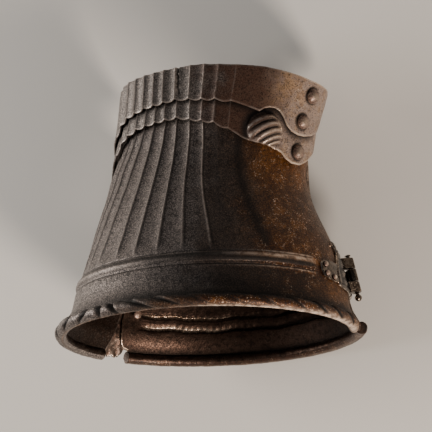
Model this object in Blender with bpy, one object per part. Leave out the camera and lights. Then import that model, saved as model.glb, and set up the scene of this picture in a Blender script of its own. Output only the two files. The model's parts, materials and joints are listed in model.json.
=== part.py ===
"""Fluted steel gauntlet for the right forearm: cuff, inner-wrist plate, two wrist lames.

Everything is first laid out as it is worn, in millimetres: Z runs up the forearm from the
rim to the hand, -Y is the back of the wrist, +Y the inner wrist and +X the little-finger
side. An angle around the wrist is 0 at the back and grows towards the little finger.
The empty "resting_pose" then lays the whole gauntlet down on its inner-wrist plate.
"""
import bpy
import bmesh
import numpy as np
from math import ceil, cos, pi, radians, sin, tan, tau
from mathutils import Euler, Matrix, Vector

MM = 0.001

# Resting pose: lying on the inner plate, whose wrist edge and rim touch the same plane
LEAN_DEG = 20.57
REST_EDGE_Y = 34.15
REST_EDGE_Z = 84.0

# Sheet steel and the running gaps between the sheets
CUFF_SHEET = 1.2
LAME_SHEET = 1.0
PIECE_GAP = 0.3

# Turned and roped rim of cuff and inner plate
BEAD_RADIUS = 3.0
BEAD_HEIGHT = 1.0
BEAD_INSET = 0.4
ROPE_DEPTH = 0.75
ROPE_STRAND_DEG = 11.2
BEAD_ARC_POINTS = 6
BEAD_ARC_FROM_DEG = 62
BEAD_ARC_SPAN_DEG = 304

# Raised ribs that run round above the rim: narrow on the cuff, broad on the inner plate
RIB_CREST_Z = 23.4
RIB_HALF_WIDTH = 2.2
RIB_HEIGHT = 1.1
PALM_RIB_CREST_Z = 18.2
PALM_RIB_HALF_WIDTH = 3.6
PALM_RIB_HEIGHT = 1.2
RIB_FADE_DEG = 5.0
CUFF_RIB_SPAN = (-101.0, 75.5)
PALM_RIB_SPAN = (131.0, 234.0)

# Ridges between the flutes, from the thumb side; the flutes narrow towards the wrist
# (angle at the cuff's foot, at the cuff's wrist, on the lames)
RIDGES = (
    (-86.2, -64.7, -63.5), (-76.0, -57.0, -56.5), (-66.0, -49.5, -49.0),
    (-56.0, -42.5, -40.5), (-46.0, -35.5, -31.0), (-35.5, -27.2, -22.5),
    (-21.5, -18.2, -14.5), (-10.8, -9.0, -7.3), (0.8, -0.8, 0.6), (12.4, 7.3, 8.0),
    (25.0, 15.0, 14.6), (37.5, 23.5, 21.4), (50.2, 35.5, 30.0),
)
FLUTES = len(RIDGES) - 1
FLUTE_FOOT_Z = 25.0
FLUTE_WRIST_Z = 95.0
FLUTE_DEPTH = 1.5
END_FLUTE_SHARE = 0.55
RIDGE_STAND = 0.35
FLUTE_RUNOUT_Z = 27.0
FLUTE_FULL_Z = 33.0

# Where each plate starts and ends around the forearm
CUFF_START = -112.4
CUFF_START_AT_RIM = -107.5
CUFF_END = 112.0
CUFF_SLANT_TOP_Z = 24.0
PALM_START = 113.8
PALM_START_AT_RIM = 115.4
PALM_END = 246.6
PALM_BEAD_END = 240.0
PALM_SLANT_TOP_Z = 12.0
BEAD_CUT_DEG = 0.3
PALM_RIMLESS_LIP = 0.48

# Columns of the mesh: on the thumb flank, on each flute, on the little-finger flank
CUFF_FLANK_COLUMNS = (7, 17)
LAME_FLANK_COLUMNS = (8, 17)
CUFF_STEPS_PER_FLUTE = 4
LAME_STEPS_PER_FLUTE = 3
PALM_COLUMN_STEP_DEG = 3.75

# Heights of the mesh rows, outside and inside; the cuff's last rows follow its wrist edge
CUFF_OUTER_ROWS = (4.6, 11.0, 21.2, 23.4, 25.6, 29.0, 35.0, 50.0, 66.0)
CUFF_INNER_ROWS = (66.0, 46.0, 32.0, 26.4, 20.4, 6.0)
CUFF_WRIST_SHARES = (0.5, 1.0)
PALM_OUTER_ROWS = (4.6, 10.0, 14.6, 18.2, 21.8, 30.0, 47.0, 64.0, 83.0)
PALM_INNER_ROWS = (83.0, 64.0, 47.0, 30.0, 21.8, 18.2, 14.6, 6.0)
LOWER_LAME_ROW_COUNTS = (6, 4)
UPPER_LAME_ROW_COUNTS = (4, 3)

# Half widths of the outer surface at each height, in the four directions
# (z, little-finger side, thumb side, back of the wrist, inner wrist)
CUFF_SECTIONS = (
    (1.0, 70.0, 74.0, 65.0, 62.5),
    (4.6, 69.4, 72.0, 63.4, 61.2),
    (9.0, 68.0, 69.2, 61.2, 59.2),
    (19.0, 66.4, 66.6, 58.4, 56.6),
    (26.0, 64.8, 64.2, 56.4, 54.4),
    (40.0, 60.0, 59.8, 51.5, 49.4),
    (54.0, 53.0, 56.2, 46.4, 44.4),
    (66.0, 48.5, 52.8, 41.8, 40.0),
    (76.0, 47.4, 50.8, 38.0, 37.2),
    (86.0, 49.0, 47.0, 35.4, 35.4),
    (96.0, 49.4, 43.5, 33.6, 34.4),
    (104.0, 49.0, 40.6, 30.8, 34.0),
)
PALM_SECTIONS = (
    (1.0, 74.0, 74.0, 65.0, 62.5),
    (4.6, 72.2, 72.0, 63.4, 61.4),
    (9.0, 69.4, 69.2, 61.2, 59.8),
    (19.0, 66.8, 66.6, 58.4, 57.6),
    (30.0, 63.7, 63.2, 55.2, 55.0),
    (44.0, 58.4, 58.8, 50.0, 49.8),
    (64.0, 49.6, 53.4, 42.6, 42.3),
    (84.0, 49.0, 48.0, 36.0, 34.75),
)
LOWER_LAME_SECTIONS = (
    (72.0, 50.4, 53.4, 41.0, 40.4),
    (80.0, 50.7, 51.2, 39.2, 39.0),
    (88.0, 52.1, 48.9, 37.7, 37.8),
    (96.0, 53.5, 46.8, 36.9, 37.2),
    (104.0, 54.4, 45.0, 36.1, 37.0),
    (114.0, 55.0, 43.3, 33.6, 36.6),
)
UPPER_LAME_SECTIONS = (
    (84.0, 53.4, 51.8, 40.2, 40.0),
    (92.0, 54.5, 49.7, 39.5, 39.5),
    (100.0, 56.1, 47.7, 39.0, 39.2),
    (108.0, 58.5, 46.7, 38.5, 39.0),
    (116.0, 61.0, 46.0, 38.0, 38.8),
    (124.0, 62.4, 45.4, 37.6, 38.8),
)

# Edges of cuff and lames: (angle around the wrist, z of the edge there)
CUFF_TOP_EDGE = (
    (-112.4, 84.0), (-95.0, 86.0), (-72.0, 90.0), (-45.0, 98.0), (-20.0, 102.0),
    (0.0, 103.0), (20.0, 101.0), (40.0, 95.0), (60.0, 90.5), (80.0, 88.0), (112.0, 84.0),
)
LOWER_LAME_FOOT_EDGE = (
    (-107.0, 84.5), (-101.0, 78.0), (-96.0, 75.2), (-90.0, 74.4), (-84.0, 75.2), (-78.0, 78.6),
    (-72.0, 83.0), (-64.0, 86.0), (-55.5, 87.8), (-51.5, 90.6), (-46.5, 93.5), (-39.0, 94.9),
    (-30.0, 96.1), (-14.0, 97.0), (0.6, 97.6), (8.0, 96.0), (14.6, 94.8), (21.4, 93.4),
    (30.0, 89.8), (38.8, 85.1), (48.0, 82.3), (57.0, 80.8), (62.8, 80.2), (66.0, 79.2),
    (69.5, 76.8), (75.2, 75.0), (83.5, 75.3), (92.2, 78.2), (99.2, 81.5), (105.4, 84.4),
    (108.0, 89.0),
)
LOWER_LAME_HAND_EDGE = (
    (-107.0, 95.0), (-90.0, 101.5), (-75.0, 104.5), (-55.0, 108.5), (-20.0, 112.6),
    (0.0, 113.4), (20.0, 112.4), (40.0, 108.5), (60.0, 104.5), (75.0, 103.0), (90.0, 101.0),
    (108.0, 95.0),
)
UPPER_LAME_FOOT_EDGE = (
    (-107.0, 100.0), (-101.0, 92.0), (-95.0, 88.6), (-89.0, 87.6), (-83.0, 88.6),
    (-77.0, 91.6), (-71.0, 93.8), (-64.0, 95.0), (-56.0, 96.4), (-52.0, 98.4), (-47.8, 101.4),
    (-38.8, 103.2), (-30.0, 103.8), (-21.8, 104.7), (-14.0, 105.0), (0.6, 106.0),
    (8.0, 105.5), (14.6, 104.7), (21.4, 104.3), (30.0, 102.7), (37.6, 100.4), (46.3, 97.7),
    (49.0, 99.2), (52.0, 99.8), (55.5, 99.6), (59.0, 98.2), (62.1, 95.6), (65.4, 92.0),
    (69.5, 89.6), (75.0, 88.5), (81.0, 88.6), (90.0, 90.2), (97.8, 93.2), (101.0, 97.0),
    (104.0, 104.5), (107.0, 112.2),
)
UPPER_LAME_HAND_EDGE = (
    (-107.0, 109.0), (-85.0, 113.5), (-70.0, 116.5), (-56.0, 119.6), (-46.0, 120.9),
    (-35.0, 121.1), (-16.0, 121.3), (12.0, 122.2), (43.0, 119.5), (60.0, 117.0),
    (75.0, 115.0), (90.0, 114.1), (107.0, 113.6),
)
LAME_SCALLOP = 0.9

# Domed knob over the wrist bone, raised out of the lower lame
BOSS_ANGLE = 52.0
BOSS_Z = 88.9
BOSS_RADIUS = 8.9
BOSS_HEIGHT = 4.8
BOSS_ROUNDNESS = 0.75

# Rivets of the lames, (angle, z) on the little-finger side and on the thumb side. Each
# lame swings on the line through its two pivots, which runs across the wrist
RIVET_SIDES_OF_WRIST = ("little_side", "thumb_side")
LOWER_PIVOTS = ((79.2, 81.0), (-90.0, 81.0))
UPPER_PIVOTS = ((76.8, 95.0), (-89.0, 95.0))
FREE_RIVETS = ((80.4, 107.8), (-94.0, 106.0))

# Domed rivets: head, shank and peened tail
HEAD_RADIUS = 3.8
HEAD_HEIGHT = 2.4
SHANK_RADIUS = 1.6
TAIL_RADIUS = 2.5
TAIL_HEIGHT = 0.8
RIVET_SEAT = 0.55
RIVET_SIDES = 10
SMALL_RIVET_SIDES = 8
SMALL_RIVET_SCALE = 0.7
LAME_PIVOT_SCALE = 0.92
PIVOT_PLAY = 0.4
DRILL_LENGTH = 9.0
# (share of the head's radius, share of its height), from crown to edge
DOME_SHARES = ((0.0, 1.0), (0.46, 0.88), (0.82, 0.52), (1.0, 0.0))
SMALL_DOME_SHARES = ((0.0, 1.0), (0.82, 0.52), (1.0, 0.0))
TAIL_END_SHARE = 0.8

# Hinge at the little-finger edge
HINGE_ANGLE = 112.9
PIN_FOOT_Z = 16.4
PIN_HEAD_Z = 35.2
PIN_FOOT_STAND = 4.7
PIN_HEAD_STAND = 5.2
PIN_RADIUS = 0.9
KNUCKLE_RADIUS = 2.3
KNUCKLE_BORE = 1.3
KNUCKLE_SIDES = 10
FINIAL_RADIUS = 1.7
PEENED_HEAD = ((0.0, 0.7), (1.2, 0.6), (1.5, 0.1))
LEAF_SHEET = 1.3
TONGUE_SHEET = 0.9
LEAF_INSET_DEG = 0.6
LEAF_COLUMNS = 3
LEAF_RIVET_SCALE = 0.38
# Outlines of a leaf: (z, degrees from the hinge edge to its near side, to its far side)
CUFF_LEAF_OUTLINE = (
    (15.0, 0.0, 16.5), (16.0, 0.0, 20.0), (18.0, 0.0, 21.0), (23.0, 0.0, 21.0),
    (28.0, 0.0, 17.8), (31.0, 0.0, 15.0), (33.6, 0.0, 13.0), (34.8, 8.5, 13.2),
    (36.6, 9.8, 13.8), (38.4, 11.8, 15.4), (39.9, 14.4, 16.8),
)
CUFF_TONGUE_OUTLINE = (
    (16.8, 17.0, 27.0), (18.2, 17.0, 32.0), (21.0, 17.0, 33.6), (24.6, 17.0, 33.6),
    (26.4, 17.0, 31.0), (27.4, 17.0, 24.0),
)
PALM_LEAF_OUTLINE = (
    (15.6, 0.0, 5.0), (17.4, 0.0, 12.0), (20.4, 0.0, 15.0), (24.6, 0.0, 13.6),
    (28.6, 0.0, 15.0), (32.6, 0.0, 12.6), (34.6, 0.0, 7.0), (37.0, 0.0, 5.0), (40.4, 1.0, 3.2),
)
# (degrees from the hinge edge, z)
CUFF_LEAF_RIVETS = ((30.6, 19.7), (30.6, 24.0), (25.2, 18.8))
PALM_LEAF_RIVETS = ((7.5, 19.0), (7.5, 31.5))
# Stretches of the pin's length inside each knuckle, as shares from its foot
CUFF_KNUCKLES = ((0.06, 0.32), (0.68, 0.94))
PALM_KNUCKLES = ((0.345, 0.655),)
# Web between leaf and knuckle: its place and width on the plate, its grip on the knuckle
WEB_INSET_DEG = 1.2
WEB_WIDTH_DEG = 2.4
WEB_GRIP_FAR = (2.0, 0.6)
WEB_GRIP_NEAR = (1.6, -0.8)
# Ball at the pin's foot: (share of its radius, how far past the pin's end in radii)
BALL_SHARES = ((0.75, 0.2), (1.0, 0.8), (0.75, 1.5), (0.0, 1.7))

# Plain tab that closes the thumb-side seam, riveted to the inner plate
TAB_SHEET = 1.0
TAB_STAND = 1.1
TAB_COLUMNS = 8
TAB_RIVET_ANGLE = 240.0
TAB_RIVET_Z = 21.5
TAB_RIVET_SCALE = 0.6
TAB_ROW_SHARES = (0.0, 0.33, 0.67, 1.0)
# (angle, low z, high z)
TAB_EDGES = (
    (236.0, 13.0, 27.0), (238.5, 10.0, 31.5), (241.0, 5.2, 32.2), (243.5, 0.8, 32.4),
    (251.0, 1.0, 31.0), (253.5, 10.0, 29.5), (256.0, 14.0, 24.0),
)

# Finish of each group of pieces: linear base colour, roughness
FINISHES = {
    "fluted_steel": ((0.245, 0.215, 0.200), 0.42),
    "inner_plate_steel": ((0.170, 0.115, 0.090), 0.55),
    "lame_steel": ((0.300, 0.240, 0.205), 0.40),
    "rivet_iron": ((0.330, 0.255, 0.215), 0.38),
    "hinge_iron": ((0.150, 0.110, 0.090), 0.40),
}


# ---- shared shapes ---------------------------------------------------------------------

def smooth_lookup(rows, key):
    """Values of a table at key, on a smooth curve through its rows."""
    table = np.array(rows, float)
    keys = table[:, 0]
    key = min(max(key, keys[0]), keys[-1])
    slopes = np.gradient(table[:, 1:], keys, axis=0)
    row = int(np.clip(np.searchsorted(keys, key) - 1, 0, len(keys) - 2))
    step = keys[row + 1] - keys[row]
    t = (key - keys[row]) / step
    low, high = table[row, 1:], table[row + 1, 1:]
    return (low * (1 + 2 * t) * (1 - t) ** 2 + slopes[row] * step * t * (1 - t) ** 2
            + high * t * t * (3 - 2 * t) + slopes[row + 1] * step * t * t * (t - 1))


def straight_lookup(rows, key):
    table = np.array(rows, float)
    return float(np.interp(key, table[:, 0], table[:, 1]))


def ramp(value, start, end):
    return min(max((value - start) / (end - start), 0.0), 1.0)


def surface_point(sections, angle, z, stand=0.0):
    """Point of an oval section at an angle, moved out along the section by stand."""
    little, thumb, back, inner = smooth_lookup(sections, z)
    s, c = sin(radians(angle)), cos(radians(angle))
    half_x = little if s > 0 else thumb
    half_y = back if c > 0 else inner
    out = Vector((half_y * s, -half_x * c, 0.0)).normalized()
    return Vector((half_x * s, -half_y * c, z)) + out * stand


def surface_axis(sections, angle, z):
    """Outward direction of the sheet, its slope along the forearm included."""
    across = surface_point(sections, angle + 1, z) - surface_point(sections, angle - 1, z)
    along = surface_point(sections, angle, z + 1) - surface_point(sections, angle, z - 1)
    return across.cross(along).normalized()


def ridge_angle(number, z):
    """Angle of a flute's ridge; number runs on in fractions between two ridges.

    On the lames the ridges run straight, and z is None.
    """
    near = min(int(number), FLUTES - 1)
    one, two = np.array(RIDGES[near]), np.array(RIDGES[near + 1])
    foot, wrist, lame = one + (two - one) * (number - near)
    if z is None:
        return lame
    return foot + (wrist - foot) * ramp(z, FLUTE_FOOT_Z, FLUTE_WRIST_Z)


def fluted_columns(thumb_columns, little_columns, steps):
    """Column places: below 0 the thumb flank, then the flutes, then the other flank."""
    flutes = [k / steps for k in range(FLUTES * steps + 1)]
    before = [k / thumb_columns - 1 for k in range(thumb_columns)]
    after = [FLUTES + (k + 1) / little_columns for k in range(little_columns)]
    return before + flutes + after


def column_angle(place, z, start, end):
    if place < 0:
        return ridge_angle(0, z) + (ridge_angle(0, z) - start) * place
    if place > FLUTES:
        return ridge_angle(FLUTES, z) + (end - ridge_angle(FLUTES, z)) * (place - FLUTES)
    return ridge_angle(place, z)


def flute_stand(place, strength):
    """How far a column stands out: sharp ridges, hollow channels, softer at the ends."""
    if place < 0 or place > FLUTES:
        return 0.0
    flute = min(int(place), FLUTES - 1)
    depth = FLUTE_DEPTH * (END_FLUTE_SHARE if flute in (0, FLUTES - 1) else 1.0)
    channel = 1 - (2 * (place - flute) - 1) ** 2
    edge = 0.0 if place in (0, FLUTES) else RIDGE_STAND
    return strength * (edge - depth * channel)


def rib_stand(z, angle, first, last):
    """Raised rib of the cuff, running out before hinge and seam."""
    fade = min(ramp(angle, first, first + RIB_FADE_DEG), ramp(angle, last, last - RIB_FADE_DEG))
    return fade * RIB_HEIGHT * max(0.0, 1 - abs(z - RIB_CREST_Z) / RIB_HALF_WIDTH)


def palm_rib_stand(z, angle, first, last):
    """Broad rib of the inner plate, running out before hinge and seam."""
    fade = min(ramp(angle, first, first + RIB_FADE_DEG), ramp(angle, last, last - RIB_FADE_DEG))
    return fade * PALM_RIB_HEIGHT * max(0.0, 1 - abs(z - PALM_RIB_CREST_Z) / PALM_RIB_HALF_WIDTH)


def bead_arc(centre, out, angle):
    """Section of the turned rim, its rope strands twisted round it."""
    points = []
    for k in range(BEAD_ARC_POINTS):
        turn = radians(BEAD_ARC_FROM_DEG - BEAD_ARC_SPAN_DEG * k / (BEAD_ARC_POINTS - 1))
        twist = angle / ROPE_STRAND_DEG + 0.5 * turn / tau
        radius = BEAD_RADIUS - ROPE_DEPTH * (1 - abs(sin(pi * twist)))
        points.append(centre + (out * cos(turn) + Vector((0, 0, 1)) * sin(turn)) * radius)
    return points


def skin_from_profiles(profiles):
    """Closed solid from one closed outline per column, capped at both ends."""
    bm = bmesh.new()
    rings = [[bm.verts.new(p) for p in outline] for outline in profiles]
    count = len(profiles[0])
    for one, two in zip(rings, rings[1:]):
        for k in range(count):
            n = (k + 1) % count
            bm.faces.new((one[k], one[n], two[n], two[k]))
    bm.faces.new(rings[0][::-1])
    bm.faces.new(rings[-1])
    bmesh.ops.triangulate(bm, faces=bm.faces[:])
    bmesh.ops.recalc_face_normals(bm, faces=bm.faces[:])
    if bm.calc_volume(signed=True) < 0:
        bmesh.ops.reverse_faces(bm, faces=bm.faces[:])
    return bm


def turned(outline, sides):
    """Solid turned round Z from (radius, height) pairs, its ends on the axis."""
    bm = bmesh.new()
    verts = [bm.verts.new((r, 0, h)) for r, h in outline]
    edges = [bm.edges.new(pair) for pair in zip(verts, verts[1:])]
    bmesh.ops.spin(bm, geom=verts + edges, axis=(0, 0, 1), cent=(0, 0, 0),
                   angle=tau, steps=sides, use_merge=False, use_duplicate=False)
    bmesh.ops.remove_doubles(bm, verts=bm.verts[:], dist=1e-4)
    bmesh.ops.recalc_face_normals(bm, faces=bm.faces[:])
    if bm.calc_volume(signed=True) < 0:
        bmesh.ops.reverse_faces(bm, faces=bm.faces[:])
    return bm


def facing(place, direction):
    """Matrix that stands a turned piece at place with its Z along direction."""
    return Matrix.Translation(place) @ direction.to_track_quat("Z", "Y").to_matrix().to_4x4()


# ---- objects in the scene --------------------------------------------------------------

def clear_scene():
    for obj in list(bpy.data.objects):
        bpy.data.objects.remove(obj, do_unlink=True)


def make_finishes():
    made = {}
    for name, (colour, roughness) in FINISHES.items():
        mat = bpy.data.materials.new(name)
        mat.use_nodes = True
        shader = mat.node_tree.nodes["Principled BSDF"]
        shader.inputs["Base Color"].default_value = (*colour, 1.0)
        shader.inputs["Metallic"].default_value = 1.0
        shader.inputs["Roughness"].default_value = roughness
        made[name] = mat
    return made


def empty(name, place=(0, 0, 0), parent=None):
    obj = bpy.data.objects.new(name, None)
    bpy.context.collection.objects.link(obj)
    obj.parent = parent
    obj.location = Vector(place) * MM
    return obj


def add_piece(name, bm, finish, parent, pivot=(0, 0, 0)):
    """Object from a mesh laid out in worn millimetres, hung on its parent's pivot."""
    bmesh.ops.transform(bm, matrix=Matrix.Scale(MM, 4) @ Matrix.Translation(-Vector(pivot)),
                        verts=bm.verts[:])
    mesh = bpy.data.meshes.new(name)
    bm.to_mesh(mesh)
    bm.free()
    mesh.materials.append(finish)
    obj = bpy.data.objects.new(name, mesh)
    bpy.context.collection.objects.link(obj)
    obj.parent = parent
    return obj


def drill(obj, place, direction, radius, pivot=(0, 0, 0)):
    """Round hole through a sheet, cut by a hidden rod."""
    bm = bmesh.new()
    bmesh.ops.create_cone(bm, cap_ends=True, segments=RIVET_SIDES, radius1=radius,
                          radius2=radius, depth=DRILL_LENGTH, matrix=facing(place, direction))
    rod = add_piece(obj.name + "_drill", bm, obj.data.materials[0], obj.parent, pivot)
    rod.hide_render = True
    rod.display_type = "WIRE"
    cut = obj.modifiers.new("hole", "BOOLEAN")
    cut.operation = "DIFFERENCE"
    cut.object = rod


# ---- cuff and inner plate --------------------------------------------------------------

def cuff_start(z):
    slant = ramp(z, CUFF_SLANT_TOP_Z, BEAD_HEIGHT)
    return CUFF_START + (CUFF_START_AT_RIM - CUFF_START) * slant


def cuff_profile(place):
    """Outline of the cuff's sheet at one column: up the outside, down the inside."""
    def angle_at(z):
        return column_angle(place, z, cuff_start(z), CUFF_END)

    def wall(z, depth):
        strength = ramp(z, FLUTE_RUNOUT_Z, FLUTE_FULL_Z)
        rib = rib_stand(z, angle_at(z), *CUFF_RIB_SPAN)
        stand = flute_stand(place, strength) + rib - depth
        return surface_point(CUFF_SECTIONS, angle_at(z), z, stand)

    top = straight_lookup(CUFF_TOP_EDGE, angle_at(CUFF_TOP_EDGE[0][1]))
    last = CUFF_OUTER_ROWS[-1]
    wrist = [last + (top - last) * share for share in CUFF_WRIST_SHARES]
    outer = [wall(z, 0.0) for z in list(CUFF_OUTER_ROWS) + wrist]
    inner = [wall(z, CUFF_SHEET) for z in wrist[::-1] + list(CUFF_INNER_ROWS)]
    centre = surface_point(CUFF_SECTIONS, angle_at(BEAD_HEIGHT), BEAD_HEIGHT)
    out = Vector((centre.x, centre.y, 0)).normalized()
    bead = bead_arc(centre - out * BEAD_INSET, out, angle_at(BEAD_HEIGHT))
    return outer + inner + bead[::-1]


def make_cuff(finish, parent):
    places = fluted_columns(*CUFF_FLANK_COLUMNS, CUFF_STEPS_PER_FLUTE)
    profiles = [cuff_profile(place) for place in places]
    return add_piece("cuff_plate", skin_from_profiles(profiles), finish, parent)


def palm_angle(share, z, end):
    slant = ramp(z, PALM_SLANT_TOP_Z, BEAD_HEIGHT)
    start = PALM_START + (PALM_START_AT_RIM - PALM_START) * slant
    return start + (end - start) * share


def rest_plane_y(z):
    """Plane on which the gauntlet lies, through the wrist edge of the inner plate."""
    return REST_EDGE_Y + (REST_EDGE_Z - z) * tan(radians(LEAN_DEG))


def palm_wall(angle, z, depth):
    """Inner plate: an oval whose middle is beaten flat along the resting plane."""
    stand = palm_rib_stand(z, angle, *PALM_RIB_SPAN) - depth
    point = surface_point(PALM_SECTIONS, angle, z, stand)
    point.y = min(point.y, rest_plane_y(z) - depth)
    return point


def palm_profile(share, end, has_bead):
    outer = [palm_wall(palm_angle(share, z, end), z, 0.0) for z in PALM_OUTER_ROWS]
    inner = [palm_wall(palm_angle(share, z, end), z, CUFF_SHEET) for z in PALM_INNER_ROWS]
    if has_bead:
        angle = palm_angle(share, BEAD_HEIGHT, end)
        centre = surface_point(PALM_SECTIONS, angle, BEAD_HEIGHT)
        out = Vector((centre.x, centre.y, 0)).normalized()
        bead = bead_arc(centre - out * BEAD_INSET, out, angle)
        for point in bead:
            point.y = min(point.y, rest_plane_y(point.z))
    else:
        start, finish = inner[-1], outer[0]
        low = Vector((0, 0, -PALM_RIMLESS_LIP))
        shares = [k / (BEAD_ARC_POINTS + 1) for k in range(1, BEAD_ARC_POINTS + 1)]
        bead = [finish.lerp(start, t) + low * sin(pi * t) for t in shares]
    return outer + inner + bead[::-1]


def make_palm(finish, parent, pivot):
    columns = int(ceil((PALM_BEAD_END - PALM_START) / PALM_COLUMN_STEP_DEG))
    profiles = [palm_profile(k / columns, PALM_BEAD_END, True) for k in range(columns + 1)]
    past_bead = PALM_BEAD_END + BEAD_CUT_DEG
    for end in (past_bead, (past_bead + PALM_END) / 2, PALM_END):
        profiles.append(palm_profile(1.0, end, False))
    return add_piece("palm_plate", skin_from_profiles(profiles), finish, parent, pivot)


# ---- wrist lames -----------------------------------------------------------------------

def boss_stand(angle, z):
    """Height of the wrist-bone knob above the lame."""
    centre = surface_point(LOWER_LAME_SECTIONS, BOSS_ANGLE, BOSS_Z)
    point = surface_point(LOWER_LAME_SECTIONS, angle, z)
    share = (point - centre).length / BOSS_RADIUS
    return BOSS_HEIGHT * max(0.0, 1 - share * share) ** BOSS_ROUNDNESS


def no_bulge(angle, z):
    """The upper lame has no knob."""
    return 0.0


def lame_profile(sections, foot_edge, hand_edge, place, span, outer_count, inner_count, bulge):
    start, end = span
    angle = column_angle(place, None, start, end)
    stand = flute_stand(place, 1.0)
    foot = straight_lookup(foot_edge, angle)
    hand = straight_lookup(hand_edge, angle)
    if 0 < place < FLUTES:
        foot -= LAME_SCALLOP * (1 - (2 * (place % 1) - 1) ** 2)

    def wall(share, depth):
        z = foot + (hand - foot) * share
        return surface_point(sections, angle, z, stand + bulge(angle, z) - depth)

    outer = [wall(k / (outer_count - 1), 0.0) for k in range(outer_count)]
    inner = [wall(1 - k / (inner_count - 1), LAME_SHEET) for k in range(inner_count)]
    return outer + inner


def make_lame(name, sections, foot_edge, hand_edge, rows, bulge, finish, parent, pivot):
    places = fluted_columns(*LAME_FLANK_COLUMNS, LAME_STEPS_PER_FLUTE)
    span = (foot_edge[0][0], foot_edge[-1][0])
    profiles = [lame_profile(sections, foot_edge, hand_edge, place, span, *rows, bulge)
                for place in places]
    return add_piece(name, skin_from_profiles(profiles), finish, parent, pivot)


# ---- rivets ----------------------------------------------------------------------------

def make_rivet(name, place, direction, stack, scale, finish, parent, pivot):
    """Domed rivet: head on the outside, shank through a stack of sheets, peened tail."""
    small = scale < SMALL_RIVET_SCALE
    shares = SMALL_DOME_SHARES if small else DOME_SHARES
    dome = [(HEAD_RADIUS * scale * r, HEAD_HEIGHT * scale * h) for r, h in shares]
    shank, tail = SHANK_RADIUS * scale, TAIL_RADIUS * scale
    low = -stack - 2 * RIVET_SEAT
    tail_end = low - TAIL_HEIGHT * scale
    outline = dome + [(shank, 0), (shank, low), (tail, low), (tail * TAIL_END_SHARE, tail_end),
                      (0, tail_end)]
    bm = turned(outline, SMALL_RIVET_SIDES if small else RIVET_SIDES)
    seat = place + direction * RIVET_SEAT
    bmesh.ops.transform(bm, matrix=facing(seat, direction), verts=bm.verts[:])
    return add_piece(name, bm, finish, parent, pivot)


def sheet_stack(outer_sections, inner_sections, inner_sheet, angle, z):
    """Depth from the outer face of one sheet to the inner face of the sheet beneath."""
    direction = surface_axis(outer_sections, angle, z)
    place = surface_point(outer_sections, angle, z)
    below = surface_point(inner_sections, angle, z, -inner_sheet)
    return (place - below).dot(direction)


def pivot_middle(sections, pivots):
    """Middle of the line through a lame's two pivots."""
    little, thumb = [surface_point(sections, angle, z) for angle, z in pivots]
    return (little + thumb) / 2


def rivet_lames(cuff, lower, upper, finish, lower_pivot, upper_pivot):
    """Pivot rivets of both lames and the free rivets that held the next lame."""
    hole = SHANK_RADIUS + PIVOT_PLAY
    for side, low, high, free in zip(RIVET_SIDES_OF_WRIST, LOWER_PIVOTS, UPPER_PIVOTS,
                                     FREE_RIVETS):
        place = surface_point(LOWER_LAME_SECTIONS, *low)
        direction = surface_axis(LOWER_LAME_SECTIONS, *low)
        stack = sheet_stack(LOWER_LAME_SECTIONS, CUFF_SECTIONS, CUFF_SHEET, *low)
        make_rivet("cuff_pivot_" + side, place, direction, stack, 1.0, finish, lower.parent,
                   lower_pivot)
        drill(cuff, place, direction, hole)
        drill(lower, place, direction, hole, lower_pivot)

        place = surface_point(UPPER_LAME_SECTIONS, *high)
        direction = surface_axis(UPPER_LAME_SECTIONS, *high)
        stack = sheet_stack(UPPER_LAME_SECTIONS, LOWER_LAME_SECTIONS, LAME_SHEET, *high)
        make_rivet("lame_pivot_" + side, place, direction, stack, LAME_PIVOT_SCALE, finish,
                   upper.parent, upper_pivot)
        drill(lower, place, direction, hole, lower_pivot)
        drill(upper, place, direction, hole, upper_pivot)

        place = surface_point(UPPER_LAME_SECTIONS, *free)
        direction = surface_axis(UPPER_LAME_SECTIONS, *free)
        make_rivet("free_rivet_" + side, place, direction, LAME_SHEET, 1.0, finish,
                   upper.parent, upper_pivot)
        drill(upper, place, direction, hole, upper_pivot)


# ---- hinge -----------------------------------------------------------------------------

def pin_point(z):
    """Axis of the hinge pin, standing off the cuff's little-finger edge."""
    share = (z - PIN_FOOT_Z) / (PIN_HEAD_Z - PIN_FOOT_Z)
    foot = surface_point(CUFF_SECTIONS, HINGE_ANGLE, PIN_FOOT_Z, PIN_FOOT_STAND)
    head = surface_point(CUFF_SECTIONS, HINGE_ANGLE, PIN_HEAD_Z, PIN_HEAD_STAND)
    return foot.lerp(head, share)


def knuckle(span):
    """Tube round the pin, between two shares of the pin's length."""
    length = (pin_point(PIN_HEAD_Z) - pin_point(PIN_FOOT_Z)).length
    low, high = span[0] * length, span[1] * length
    bm = bmesh.new()
    rings = []
    for radius, height in ((KNUCKLE_RADIUS, low), (KNUCKLE_RADIUS, high),
                           (KNUCKLE_BORE, high), (KNUCKLE_BORE, low)):
        ring = []
        for k in range(KNUCKLE_SIDES):
            turn = tau * k / KNUCKLE_SIDES
            ring.append(bm.verts.new((radius * cos(turn), radius * sin(turn), height)))
        rings.append(ring)
    for one, two in zip(rings, rings[1:] + rings[:1]):
        for k in range(KNUCKLE_SIDES):
            n = (k + 1) % KNUCKLE_SIDES
            bm.faces.new((one[k], one[n], two[n], two[k]))
    axis = (pin_point(PIN_HEAD_Z) - pin_point(PIN_FOOT_Z)).normalized()
    bmesh.ops.transform(bm, matrix=facing(pin_point(PIN_FOOT_Z), axis), verts=bm.verts[:])
    bmesh.ops.recalc_face_normals(bm, faces=bm.faces[:])
    return bm


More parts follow.
